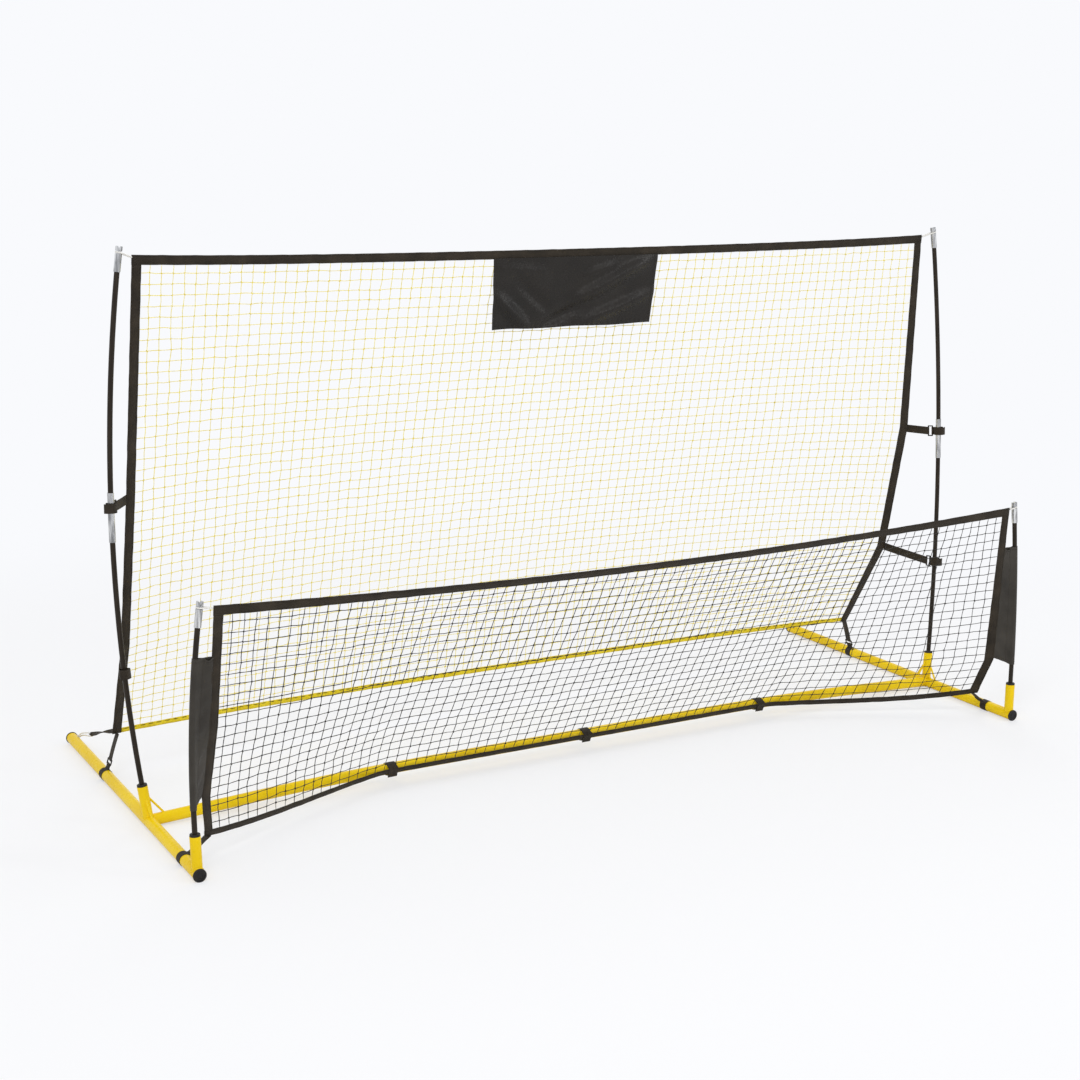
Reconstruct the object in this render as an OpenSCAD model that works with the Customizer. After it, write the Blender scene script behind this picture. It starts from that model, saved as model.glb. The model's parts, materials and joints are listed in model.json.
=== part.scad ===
// Two-sided football rebounder: an H-shaped tube base carries two short poles and two tall
// poles. A low net spans the short poles in front, a tall net leans back from the tall poles.
// +X runs to the right seen from the front, +Y to the back, +Z up; the floor is at z = 0.

/* [Base frame] */
// Distance between the axes of the two side rails
rail_spacing = 2100; // [1600:10:2600]
// Length of a side rail over its end caps
rail_length = 912; // [820:2:1200]
// Outer diameter of the rail and crossbar tubes
tube_d = 25; // [22:0.5:30]
// Wall of the rail, crossbar and socket tubes
tube_wall = 1.5; // [1.2:0.1:2]
// Distance from a rail's front end to the crossbar axis
crossbar_setback = 322; // [260:2:400]
// How far the middle of the crossbar arches above its ends
crossbar_arch = 22; // [5:1:30]
// Straight length of crossbar to either side of its middle
crossbar_flat = 400; // [150:10:440]
// Straight length of crossbar from each rail's axis
crossbar_end = 250; // [245:5:320]
// Distance from a rail axis to the seam where the crossbar tube slides on
stub_length = 100; // [80:1:150]
// Length of a swaged tube end inside the next tube
swage_length = 55; // [45:1:80]

/* [End caps] */
// How far an end cap's flange stands proud of the rail all round
cap_lip = 1.3; // [1.2:0.1:3]
// Thickness of an end cap's flange
cap_t = 3; // [2:0.5:6]
// Length of an end cap's plug inside the rail
cap_plug = 16; // [10:1:30]
// Depth of the flat that a cap stands on
foot_flat = 0.3; // [0.1:0.05:0.3]

/* [Pole sockets] */
// Outer diameter of a pole socket
socket_d = 22; // [20:0.5:26]
// Height of a socket's mouth above the rail axis, along the socket
socket_length = 76; // [60:1:120]
// Distance from a rail's front end to the front socket's axis
front_socket_setback = 16; // [15:0.5:30]
// Outward lean of a front socket in degrees
front_lean_out = 1.2; // [0:0.1:3]
// Outward lean of a rear socket in degrees
rear_lean_out = 6.7; // [5:0.1:8]
// Backward lean of a rear socket in degrees
rear_lean_back = 5.6; // [4:0.1:7]
// Diameter of the brace rods at a rear socket
rod_d = 4.6; // [3:0.2:7]
// Reach of a brace rod along the rail or crossbar
rod_reach = 42; // [34:1:60]

/* [Poles] */
// Diameter of the fibreglass poles
pole_d = 11; // [9:0.1:13.5]
// Top of the front poles above the floor
front_pole_top = 553; // [450:1:680]
// Distance of a front pole's top inside the rail axis
front_pole_in = 25; // [10:1:40]
// Top of the rear poles above the floor
rear_pole_top = 1190; // [980:1:1440]
// Distance of a rear pole's top inside the rail axis
rear_pole_in = 7; // [0:1:15]
// Distance of a rear pole's top behind the crossbar axis
rear_pole_back = 68; // [60:1:80]
// Length along the rear pole from the socket's mouth to its splice sleeve
splice_start = 515; // [450:1:560]
// Length of the splice sleeve
splice_length = 101; // [70:1:120]
// Length of the ferrule on a pole's tip
ferrule_length = 36; // [25:1:50]
// Length of the notched head above the ferrule's neck
head_length = 10; // [8:0.5:16]

/* [Nets and webbing] */
// Width of the black webbing round both nets
band_w = 20; // [14:1:26]
// Thickness of that webbing, folded over the net's edge
band_t = 2.4; // [1.6:0.2:3]
// Width of the black webbing along the low net's bottom edge
foot_band_w = 15; // [10:1:20]
// Width of the yellow hem under the tall net
hem_w = 14; // [10:1:20]
// Thickness of the netting
net_t = 2; // [1.2:0.2:3]
// Width of the banner panel
banner_w = 430; // [200:5:800]
// Height of the banner panel
banner_h = 158; // [80:2:240]
// Distance of the banner's middle to the right of the net's middle
banner_shift = 16; // [-60:1:60]
// Width of the straps
strap_w = 20; // [15:1:25]
// Diameter of the elastic loops
elastic_d = 3.2; // [2.5:0.1:4]

/* [Snap buttons] */
// Diameter of a snap button
button_d = 7; // [6:0.5:8]
// How far a snap button stands out of the crossbar
button_out = 2.5; // [1.5:0.1:3.5]
// Distance from a tube seam to its snap button
button_inset = 30; // [22:1:40]

/* [Hidden] */
$fn = 64;

// Colours
yellow = "#e8c81e";
black = "#2a2826";
silver = "#b8bab8";
white = "#f0efe8";

// Clearances: weld between welded tubes, running round a snap button, slide between tubes that
// push together, loose round webbing, and sewn between webbing and what it is sewn to
weld = 0.05;
running = 0.08;
slide = 0.2;
loose = 0.4;
sewn = 0.3;

// Base: the rails stand on their end caps
tube_r = tube_d / 2;
bore_r = tube_r - tube_wall;
cap_r = tube_r + cap_lip;
rail_x = rail_spacing / 2;
front_y = -rail_length / 2;
rear_y = rail_length / 2;
rail_z = cap_r - foot_flat;
bar_y = front_y + crossbar_setback;

// Crossbar: straight where its tubes join, across the middle and at both ends, and bent on one
// arc between
bend_to = rail_x - crossbar_end;
bend_w = bend_to - crossbar_flat;
half_tan = crossbar_arch / (bend_w + 2 * crossbar_end);
end_slope = 2 * atan(half_tan);
bend_radius = bend_w / sin(end_slope);
bar_top = rail_z + bend_w * half_tan + crossbar_end * tan(end_slope);
end_dir = [cos(end_slope), 0, -sin(end_slope)];
end_length = crossbar_end / end_dir.x;
function bar_slope(x) =
    abs(x) < crossbar_flat ? 0
    : sign(x) * (abs(x) < bend_to ? asin((abs(x) - crossbar_flat) / bend_radius) : end_slope);
function bar_z(x) =
    abs(x) < bend_to ? bar_top - bend_radius * (1 - cos(bar_slope(x)))
    : rail_z + (rail_x - abs(x)) * tan(end_slope);

// Sleeve joints: a swaged tube end slides into the next tube, and a snap button locks them
swage_r = bore_r - slide;
swage_bore_r = swage_r - tube_wall;
neck_length = 4;
shoulder_r = button_d / 2 + 1;
shoulder_t = 1;
shoulder_y = sqrt(swage_bore_r * swage_bore_r - shoulder_r * shoulder_r) - slide;
spring_reach = 32;

// Poles: each bends on one arc from its socket's mouth to its tip
collar_t = 4.5;
collar_plug = 20;
front_foot = [rail_x, front_y + front_socket_setback, rail_z];
rear_foot = [rail_x, bar_y, rail_z];
front_dir = unit([tan(front_lean_out), 0.03, 1]);
rear_dir = unit([tan(rear_lean_out), tan(rear_lean_back), 1]);
front_mouth = front_foot + socket_length * front_dir;
rear_mouth = rear_foot + socket_length * rear_dir;
front_top = [rail_x - front_pole_in, front_foot.y + 6, front_pole_top];
rear_top = [rail_x - rear_pole_in, bar_y + rear_pole_back, rear_pole_top];
front_arc = arc_to(front_mouth, front_dir, front_top);
rear_arc = arc_to(rear_mouth, rear_dir, rear_top);
pole_r = pole_d / 2;
pole_bottom = tube_r + 1 - socket_length;
splice_r = pole_r + 1.25;
splice_middle = splice_start + splice_length / 2;

// Pole tips: a ferrule, a neck that an elastic loop goes round and a notched head
tip_r = pole_r + 1.5;
tip_neck_r = pole_r - 1.2;
tip_neck = elastic_d + 1.6;
tip_length = ferrule_length + tip_neck + head_length;
ferrule_roof = 3;
notch_w = tip_r;

// Straps: a loop round a tube or pole, a wire ring and a tab to the net
ring_wire = 3;
ring_w = 10.5;
ring_h = strap_w + 5;
eye_r = ring_wire / 2 + 0.2;
strap_t = 1.5;
tab_point = 3.5;
rail_loop_t = 0.8;
high_strap = 585;
low_strap = 242;
corner_setback = 95;
tail_back = 310;

// Right-hand edge of the tall net from its top down, with a kink where each strap pulls it
tall_edge = [
    rear_top + [-27, 10, -18],
    [rail_x - 13, bar_y + 114, arc_point(rear_arc, high_strap).z + 1],
    [rail_x - 9, bar_y + 182, arc_point(rear_arc, low_strap).z + 13],
    [rail_x - 19, bar_y + tail_back + 4, rail_z + 90],
];
tall_length = line_length(tall_edge);
tall_top_middle = [0, tall_edge[0].y + 6, tall_edge[0].z - 12];
tall_hem_middle = [0, tall_edge[3].y + 22, tall_edge[3].z + 6];
tall_sag = 12;

// Right-hand edge of the low net from its top down, with kinks at its sleeve's ends
low_top = front_top + [-23, -9, -9];
low_kink = [rail_x - 26, front_y + 53, rail_z + 136];
low_edge = [
    low_top,
    lerp(low_kink, low_top, 0.38) + [-4, -5, 0],
    low_kink,
    [rail_x - 41, front_y + corner_setback - 8, rail_z + 41],
];
low_length = line_length(low_edge);
low_top_sag = 26;
sleeve_bottom = 52;
sleeve_top = 353;
sleeve_slant = 11;
sleeve_skin = 1;

// Three straps hold the low net's bottom band against the front of the crossbar, up to a strap's
// width past the outer ones
strap_at = 500;
bar_band_gap = tube_r + band_t / 2 + 0.9;
bar_band_dir = [0, -0.86, -0.51];
band_leaves = strap_at + strap_w;
strap_over = 1;

// The banner hangs from the tall net's top band in soft folds, a little narrower and further back
// below
banner_cloth = 1.2;
banner_taper = 0.03;
banner_back = 22;
fold_depth = 5;
fold_count = 1.6;
fold_lean = 60;

// A webbing tail and an elastic loop pull each lower corner of the tall net back to the rail,
// where the loop is knotted inside a hole
knot_r = 4.9;
hole_r = elastic_d + 1;
hole_out = unit([-1, 0, 1]);
hole_at = [rail_x, rear_y - cap_t - cap_plug - 9, rail_z] + tube_r * hole_out;
tail_start = tall_edge[3] + [-3, 2.5, 6];
tail_end = lerp(tail_start, hole_at + 3 * hole_out, 0.64);
tail_dir = unit(hole_at + 3 * hole_out - tail_end);

function unit(v) = v / norm(v);
function across(v, axis) = v - axis * (v * axis);
function lerp(a, b, t) = a + (b - a) * t;
function joined(lists) = [for (list = lists) for (item = list) item];
function quad(a, b, c, d) = [[a, b, c], [a, c, d]];

// Matrix that puts the origin at a point and turns X, Y and Z to three directions
function axes(at, x, y, z) =
    [[x.x, y.x, z.x, at.x], [x.y, y.y, z.y, at.y], [x.z, y.z, z.z, at.z], [0, 0, 0, 1]];
// Z along up exactly, X as near to toward as it can be
function upright(at, toward, up) =
    let (z = unit(up), x = unit(across(toward, z))) axes(at, x, cross(z, x), z);
// X along toward exactly, Z as near to up as it can be
function aimed(at, toward, up) =
    let (x = unit(toward), z = unit(across(up, x))) axes(at, x, cross(z, x), z);

// Arc that leaves start along dir and ends at end: [centre, radius, inward, dir, length]
function arc_to(start, dir, end) =
    let (chord = end - start, inward = unit(across(chord, dir)),
         radius = (chord * chord) / (2 * (chord * inward)))
    [start + radius * inward, radius, inward, dir,
     radius * 2 * asin(norm(chord) / (2 * radius)) * PI / 180];
function arc_angle(arc, s) = s / arc[1] * 180 / PI;
function arc_point(arc, s) =
    let (a = arc_angle(arc, s)) arc[0] + arc[1] * (arc[3] * sin(a) - arc[2] * cos(a));
function arc_dir(arc, s) = let (a = arc_angle(arc, s)) arc[2] * sin(a) + arc[3] * cos(a);

// Points on a line of points: by length from its start, by share of its length, by height
function leg(line, i) = norm(line[i + 1] - line[i]);
function line_length(line, i = 0) =
    i < len(line) - 1 ? leg(line, i) + line_length(line, i + 1) : 0;
function walk(line, s, i = 0) =
    s <= leg(line, i) || i == len(line) - 2
    ? lerp(line[i], line[i + 1], s / leg(line, i))
    : walk(line, s - leg(line, i), i + 1);
function along(line, v) = walk(line, v * line_length(line));
function at_height(line, z, i = 0) =
    z >= line[i + 1].z || i == len(line) - 2
    ? lerp(line[i], line[i + 1], (line[i].z - z) / (line[i].z - line[i + 1].z))
    : at_height(line, z, i + 1);

// How much of a side's pull reaches u: 0 in the middle of a net, 1 at its sides
function cosh(x) = (exp(x) + exp(-x)) / 2;
function pull(u, k) = (cosh(k * u) - 1) / (cosh(k) - 1);

// Shape of each net: u runs from -1 at the left edge to 1 at the right, v from 0 at the top
// edge to 1 at the bottom edge
tall = function (u, v)
    let (side = along(tall_edge, v), w = pull(u, 2.95),
         sag = [0, tall_sag, -tall_sag / 4] * sin(180 * v),
         middle = lerp(tall_top_middle, tall_hem_middle, v) + sag)
    [side.x * u, lerp(middle.y, side.y, w), lerp(middle.z, side.z, w)];

// The low net's bottom edge follows the crossbar between the outer straps, then comes forward
function low_bottom(u) =
    let (corner = low_edge[3], x = corner.x * u,
         f = max(0, (abs(x) - band_leaves) / (corner.x - band_leaves)),
         on_bar = [x, bar_y, bar_z(x)] + bar_band_gap * bar_band_dir)
    [x, lerp(on_bar.y, corner.y, pow(f, 1.25)), lerp(on_bar.z, corner.z, f * f)];
// Share of the way down that keeps the bands one width where the net is longer than at its sides
function even_share(v, k) =
    v < low_band_v ? v * k
    : v > 1 - foot_band_v ? 1 - (1 - v) * k
    : lerp(low_band_v * k, 1 - foot_band_v * k,
           (v - low_band_v) / (1 - low_band_v - foot_band_v));
low = function (u, v)
    let (side = along(low_edge, v), chord = lerp(low_edge[0], low_edge[3], v),
         bottom = low_bottom(u),
         top = [bottom.x, low_edge[0].y, low_edge[0].z - low_top_sag * (1 - u * u)],
         straight = lerp(top, bottom, even_share(v, low_length / norm(bottom - top))),
         w = pull(u, 6.2))
    [side.x * u, straight.y + (side.y - chord.y) * w, straight.z + (side.z - chord.z) * w];

// Point lifted off a net towards the front
function normal(shape, u, v) =
    let (du = shape(min(u + 0.002, 1), v) - shape(u - 0.002, v),
         dv = shape(u, min(v + 0.002, 1)) - shape(u, max(v - 0.002, 0)))
    unit(cross(dv, du));
function lifted(shape, u, v, h) = shape(u, v) + h * normal(shape, u, v);

// Shape of the banner, from its left edge to its right and from its top edge down
banner = function (u, v)
    let (half = banner_w / 2,
         hang = lifted(tall, (banner_shift + u * half) / tall_edge[0].x, tall_band_v + tall_gap_v,
                       (net_t + banner_cloth) / 2 + sewn),
         fold = fold_depth * v * (1 - cos(360 * fold_count * u + fold_lean * v)) / 2)
    hang + [-half * banner_taper * u * v, banner_back * v - fold, -banner_h * v];

// Sizes as shares of a net's width and height
band_u = band_w / low_edge[0].x;
gap_u = 2 * sewn / low_edge[0].x;
tall_band_v = band_w / tall_length;
tall_gap_v = sewn / tall_length;
hem_v = hem_w / tall_length;
low_band_v = band_w / low_length;
foot_band_v = foot_band_w / low_length;
low_gap_v = sewn / low_length;
strap_gap_v = (strap_over + strap_t + sewn) / low_length;

// ---- Shapes that repeat ----

// Draws the right-hand piece, or its mirror image on the left
module on_side(side) {
    if (side < 0) mirror([1, 0, 0]) children();
    else children();
}

module ring_outline(outer, inner) {
    difference() {
        circle(r = outer, $fn = 32);
        if (inner > 0) circle(r = inner, $fn = 32);
    }
}

// Tube or rod on a pole's arc, between two lengths from the socket's mouth
module arc_tube(arc, from, to, outer, inner = 0) {
    multmatrix(axes(arc[0], -arc[2], arc[3], cross(-arc[2], arc[3])))
    rotate([0, 0, arc_angle(arc, from)])
    rotate_extrude(angle = arc_angle(arc, to - from), $fn = 720)
    translate([arc[1], 0]) ring_outline(outer, inner);
}

// Straight tube or rod from z = 0 up
module straight_tube(length, outer, inner = 0) {
    linear_extrude(length) ring_outline(outer, inner);
}

// Frames on the crossbar, with X to the back: on its middle at x, with Z to the right, or on its
// right-hand end at a distance from the rail's axis, with Z inwards
module at_middle(x) {
    multmatrix(upright([x, bar_y, bar_top], [0, 1, 0], [1, 0, 0])) children();
}
module at_end(distance) {
    multmatrix(upright([rail_x, bar_y, rail_z] - distance * end_dir, [0, 1, 0], -end_dir))
    children();
}

// Thin sheet on a net's shape between u and v limits, lifted towards the front
module patch(shape, us, vs, nu, nv, t, lift = 0) {
    rows = nv + 1;
    side_count = (nu + 1) * rows;
    points = [for (h = [lift + t / 2, lift - t / 2]) for (i = [0 : nu]) for (j = [0 : nv])
              lifted(shape, lerp(us[0], us[1], i / nu), lerp(vs[0], vs[1], j / nv), h)];
    function id(i, j, k) = k * side_count + i * rows + j;
    polyhedron(points, joined([
        for (i = [0 : nu - 1]) for (j = [0 : nv - 1]) joined([
            quad(id(i, j, 0), id(i + 1, j, 0), id(i + 1, j + 1, 0), id(i, j + 1, 0)),
            quad(id(i, j, 1), id(i, j + 1, 1), id(i + 1, j + 1, 1), id(i + 1, j, 1))]),
        for (i = [0 : nu - 1]) joined([
            quad(id(i, 0, 0), id(i, 0, 1), id(i + 1, 0, 1), id(i + 1, 0, 0)),
            quad(id(i, nv, 0), id(i + 1, nv, 0), id(i + 1, nv, 1), id(i, nv, 1))]),
        for (j = [0 : nv - 1]) joined([
            quad(id(0, j, 0), id(0, j + 1, 0), id(0, j + 1, 1), id(0, j, 1)),
            quad(id(nu, j, 0), id(nu, j, 1), id(nu, j + 1, 1), id(nu, j + 1, 0))]),
    ]));
}

// Netting: a sheet on a net's shape with a window in each of nu by nv cells
module netting(shape, us, vs, nu, nv) {
    twine = 0.12;
    du = (us[1] - us[0]) / nu;
    dv = (vs[1] - vs[0]) / nv;
    grid = (nu + 1) * (nv + 1);
    half = grid + 4 * nu * nv;
    corners = [[0, 0, 1, 1], [1, 0, -1, 1], [1, 1, -1, -1], [0, 1, 1, -1]];
    function spot(i, j, h) = lifted(shape, us[0] + i * du, vs[0] + j * dv, h);
    points = joined([for (h = [net_t / 2, -net_t / 2]) joined([
        [for (i = [0 : nu]) for (j = [0 : nv]) spot(i, j, h)],
        [for (i = [0 : nu - 1]) for (j = [0 : nv - 1]) for (c = corners)
            spot(i + c[0] + c[2] * twine / 2, j + c[1] + c[3] * twine / 2, h)]])]);
    function knot(i, j, k = 0) = k * half + i * (nv + 1) + j;
    function window(i, j, c) = grid + 4 * (i * nv + j) + c % 4;
    function around(i, j, c) = let (at = corners[c % 4]) knot(i + at[0], j + at[1]);
    polyhedron(points, joined([
        for (i = [0 : nu - 1]) for (j = [0 : nv - 1]) for (c = [0 : 3])
            let (a = around(i, j, c), b = around(i, j, c + 1), p = window(i, j, c),
                 q = window(i, j, c + 1))
            joined([quad(a, b, q, p), quad(a + half, p + half, q + half, b + half),
                    quad(p, q, q + half, p + half)]),
        for (i = [0 : nu - 1]) joined([
            quad(knot(i, 0), knot(i, 0, 1), knot(i + 1, 0, 1), knot(i + 1, 0)),
            quad(knot(i, nv), knot(i + 1, nv), knot(i + 1, nv, 1), knot(i, nv, 1))]),
        for (j = [0 : nv - 1]) joined([
            quad(knot(0, j), knot(0, j + 1), knot(0, j + 1, 1), knot(0, j, 1)),
            quad(knot(nu, j), knot(nu, j, 1), knot(nu, j + 1, 1), knot(nu, j + 1))]),
    ]));
}

// Cord through a line of points; up is square to its start, and turns with it along the way
module cord(route, up) {
    sides = 8;
    last = len(route) - 1;
    function heading(i) = unit(route[min(i + 1, last)] - route[max(i - 1, 0)]);
    ups = [for (i = 0, n = unit(across(up, heading(0))); i <= last;
                i = i + 1, n = unit(across(n, heading(min(i, last))))) n];
    points = [for (i = [0 : last]) let (b = cross(heading(i), ups[i]))
        for (k = [0 : sides - 1]) let (a = 360 * k / sides)
        route[i] + elastic_d / 2 * (cos(a) * b + sin(a) * ups[i])];
    function id(i, k) = i * sides + k % sides;
    polyhedron(points, joined([
        [[for (k = [sides - 1 : -1 : 0]) id(0, k)], [for (k = [0 : sides - 1]) id(last, k)]],
        for (i = [0 : last - 1]) for (k = [0 : sides - 1])
            quad(id(i, k), id(i, k + 1), id(i + 1, k + 1), id(i + 1, k)),
    ]));
}

// ---- Base ----

module rail_space(extra) {
    translate([rail_x, front_y, rail_z]) rotate([-90, 0, 0])
    cylinder(h = rail_length, r = tube_r + extra);
}

module rail(side) {
    color(yellow) on_side(side) difference() {
        translate([rail_x, front_y + cap_t + weld, rail_z]) rotate([-90, 0, 0]) difference() {
            cylinder(h = rail_length - 2 * (cap_t + weld), r = tube_r);
            translate([0, 0, -1]) cylinder(h = rail_length, r = bore_r);
        }
        multmatrix(upright(hole_at - 5 * hole_out, [0, 1, 0], hole_out)) cylinder(h = 10, r = hole_r);
    }
}

// End cap: a flange cut flat as a foot, with two ring grooves in its face, and a hollow plug
module rail_cap(side, rear) {
    edge = 1;
    groove_w = 1.2;
    groove_depth = 0.8;
    color(black) on_side(side) translate([rail_x, rear * rail_length / 2, rail_z])
    rotate([rear * 90, 0, 0]) difference() {
        rotate_extrude() difference() {
            union() {
                square([cap_r - edge, cap_t]);
                translate([0, edge]) square([cap_r, cap_t - edge]);
                translate([cap_r - edge, edge]) circle(r = edge, $fn = 32);
                translate([0, cap_t]) square([bore_r - slide, cap_plug]);
            }
            for (r = [cap_r * 0.3, cap_r * 0.6])
                translate([r, -1]) square([groove_w, 1 + groove_depth]);
            translate([-1, cap_t + 2]) square([1 + bore_r - 2.5, cap_plug]);
            translate([-2 * cap_r, -1]) square([2 * cap_r, cap_t + cap_plug + 2]);
        }
        translate([-cap_r, -rear * (rail_z + cap_r / 2) - cap_r / 2, -1])
        cube([2 * cap_r, cap_r, cap_t + 2]);
    }
}

// Places a snap button's pieces in the left (-1), middle (0) or right (1) sleeve joint
module at_button(joint) {
    if (joint == 0) at_middle(button_inset) children();
    else on_side(joint) at_end(stub_length + button_inset) children();
}

module button_hole() {
    rotate([0, 90, 0]) cylinder(h = tube_d, r = button_d / 2 + running);
}

// Ring set half into the tube's wall from inside
module inner_ring(length) {
    straight_tube(length, bore_r + tube_wall / 2, bore_r - tube_wall / 4);
}

// Swaged end from z = 0 up, with the neck that joins it to its own tube below
module swaged_end() {
    translate([0, 0, -neck_length]) {
        straight_tube(neck_length + swage_length, swage_r, swage_bore_r);
        straight_tube(neck_length, bore_r + tube_wall / 2, swage_bore_r);
    }
}

// Short tube welded to the rail, with the swaged end that the crossbar slides onto
module stub(side) {
    color(yellow) difference() {
        on_side(side) difference() {
            union() {
                at_end(1) straight_tube(stub_length - 1, tube_r, bore_r);
                at_end(stub_length) swaged_end();
            }
            rail_space(weld);
        }
        at_button(side) button_hole();
    }
}

// Crossbar half: straight, bent and straight again, with a ring inside the tube at each change
module crossbar_tube() {
    ring = 4;
    at_middle(weld) straight_tube(crossbar_flat - 2 * weld, tube_r, bore_r);
    translate([crossbar_flat, bar_y, bar_top]) translate([0, 0, -bend_radius])
    rotate([-90, 0, 0]) rotate([0, 0, -90]) rotate_extrude(angle = end_slope, $fn = 1440)
    translate([bend_radius, 0]) ring_outline(tube_r, bore_r);
    at_end(stub_length + weld)
    straight_tube(end_length - stub_length - 2 * weld, tube_r, bore_r);
    at_middle(crossbar_flat - ring) inner_ring(2 * ring);
    at_end(end_length - ring) inner_ring(2 * ring);
}

// The left half ends in the swaged joint under the middle strap
module crossbar_half(side) {
    color(yellow) difference() {
        union() {
            on_side(side) crossbar_tube();
            if (side < 0) at_middle(-weld) swaged_end();
        }
        at_button(side) button_hole();
        at_button(0) button_hole();
    }
}

// Snap button: a pin that stands out at the back, with a shoulder that keeps it in the tube
module snap_button(joint) {
    edge = 0.8;
    base = shoulder_y - shoulder_t;
    top = tube_r + button_out;
    color(silver) at_button(joint) rotate([0, 90, 0]) {
        translate([0, 0, base]) cylinder(h = shoulder_t, r = shoulder_r);
        translate([0, 0, base]) cylinder(h = top - edge - base, r = button_d / 2);
        translate([0, 0, top - edge - 0.01])
        cylinder(h = edge, r1 = button_d / 2, r2 = button_d / 2 - edge);
    }
}

// Bent leaf spring between the button's shoulder and the far side of the swaged tube
module button_spring(joint) {
    leaf = 0.7;
    leaf_w = 6;
    press = shoulder_y - shoulder_t - weld;
    rest = slide - sqrt(swage_bore_r * swage_bore_r - leaf_w * leaf_w / 4);
    color(silver) at_button(joint) translate([0, leaf_w / 2, 0]) rotate([90, 0, 0])
    rotate([0, 0, -90]) linear_extrude(leaf_w)
    polygon([[-shoulder_r, press], [shoulder_r, press], [spring_reach, 1], [spring_reach, -1],
             [shoulder_r, rest], [-shoulder_r, rest], [-shoulder_r, rest + leaf],
             [shoulder_r, rest + leaf], [spring_reach - 2, 0], [shoulder_r, press - leaf],
             [-shoulder_r, press - leaf]]);
}

module socket_space(foot, dir, extra) {
    multmatrix(upright(foot, [1, 0, 0], dir)) cylinder(h = socket_length, r = socket_d / 2 + extra);
}

module socket(side, foot, dir) {
    color(yellow) on_side(side) difference() {
        socket_space(foot, dir, 0);
        multmatrix(upright(foot - dir, [1, 0, 0], dir))
        cylinder(h = socket_length + 2, r = socket_d / 2 - tube_wall);
        rail_space(weld);
        at_end(0) straight_tube(stub_length, tube_r + weld);
    }
}

// Three rods brace each rear socket: one to the crossbar stub, two to the rail
module brace_rods(side) {
    top = rear_foot + (socket_length - 14) * rear_dir;
    feet = rod_reach * [-end_dir, [0, -1, 0], [0, 1, 0]];
    color(yellow) on_side(side) difference() {
        for (foot = feet) difference() {
            multmatrix(aimed(top, rear_foot + foot - top, [0.1, 0.1, 1]))
            rotate([0, 90, 0]) cylinder(h = norm(rear_foot + foot - top), r = rod_d / 2);
            socket_space(rear_foot, rear_dir, weld);
        }
        rail_space(weld);
        at_end(0) straight_tube(stub_length, tube_r + weld);
    }
}

// Socket insert: a rounded flange on a plug, bored for the pole
module collar(side, mouth, dir) {
    edge = 1.5;
    plug_r = socket_d / 2 - tube_wall - slide;
    flange_r = socket_d / 2 - 0.4;
    mouth_r = pole_r + slide;
    color(black) on_side(side) multmatrix(upright(mouth, [1, 0, 0], dir))
    rotate_extrude() difference() {
        union() {
            translate([mouth_r, weld]) square([flange_r - mouth_r, collar_t - edge]);
            translate([mouth_r, weld]) square([flange_r - mouth_r - edge, collar_t]);
            translate([flange_r - edge, collar_t - edge + weld]) circle(r = edge, $fn = 32);
            translate([mouth_r, -collar_plug]) square([plug_r - mouth_r, collar_plug + weld]);
        }
        translate([mouth_r - socket_d, -2 * collar_plug]) square([socket_d, 3 * collar_plug]);
    }
}

// ---- Poles ----

module front_pole(side) {
    color(black) on_side(side)
    arc_tube(front_arc, pole_bottom, front_arc[4] - pole_end(), pole_r);
}

module rear_pole_lower(side) {
    color(black) on_side(side) arc_tube(rear_arc, pole_bottom, splice_middle - weld, pole_r);
}

module rear_pole_upper(side) {
    color(black) on_side(side)
    arc_tube(rear_arc, splice_middle + weld, rear_arc[4] - pole_end(), pole_r);
}

module pole_splice(side) {
    color(silver) on_side(side)
    arc_tube(rear_arc, splice_start, splice_start + splice_length, splice_r, pole_r + slide);
}

// Length of tip above a pole's end
function pole_end() = head_length + tip_neck + ferrule_roof + slide;
function tip_dir(arc) = arc_dir(arc, arc[4] - tip_length / 2);
function tip_foot(arc) = arc_point(arc, arc[4] - tip_length / 2) - tip_length / 2 * tip_dir(arc);

module pole_tip(side, arc) {
    edge = 0.8;
    head = ferrule_length + tip_neck;
    color(silver) on_side(side) multmatrix(upright(tip_foot(arc), [1, 0, 0], tip_dir(arc)))
    difference() {
        rotate_extrude() {
            difference() {
                square([tip_r, ferrule_length]);
                translate([-1, -1]) square([1 + pole_r + slide, 1 + ferrule_length - ferrule_roof]);
            }
            translate([0, ferrule_length - 0.1]) square([tip_neck_r, tip_neck + 0.2]);
            translate([0, head]) square([tip_r - edge, head_length]);
            translate([0, head + edge]) square([tip_r, head_length - 2 * edge]);
        }
        translate([0, tip_r + 1, 0]) rotate([90, 0, 0]) linear_extrude(2 * tip_r + 2)
        polygon([[-notch_w / 2, tip_length + 0.1], [-1, head + 2], [1, head + 2],
                 [notch_w / 2, tip_length + 0.1]]);
    }
}

// ---- Nets, webbing and banner ----

module tall_net() {
    color(yellow) netting(tall, [band_u + gap_u - 1, 1 - band_u - gap_u],
                          [tall_band_v + tall_gap_v, 1 - hem_v - tall_gap_v], 20, 9);
}

module tall_net_top_band() {
    color(black) patch(tall, [-1, 1], [0, tall_band_v], 20, 1, band_t);
}

module tall_net_side_band(side) {
    color(black) on_side(side)
    patch(tall, [1 - band_u, 1], [tall_band_v + tall_gap_v, 1], 1, 24, band_t);
}

module tall_net_hem() {
    color(yellow)
    patch(tall, [band_u + gap_u - 1, 1 - band_u - gap_u], [1 - hem_v, 1], 20, 1, band_t);
}

// Banner sewn under the top band, in front of the netting
module banner_panel() {
    color(black) patch(banner, [-1, 1], [0, 1], 24, 8, banner_cloth);
}

module low_net() {
    color(black) netting(low, [band_u + gap_u - 1, 1 - band_u - gap_u],
                         [low_band_v + low_gap_v, 1 - foot_band_v - strap_gap_v], 20, 6);
}

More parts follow.
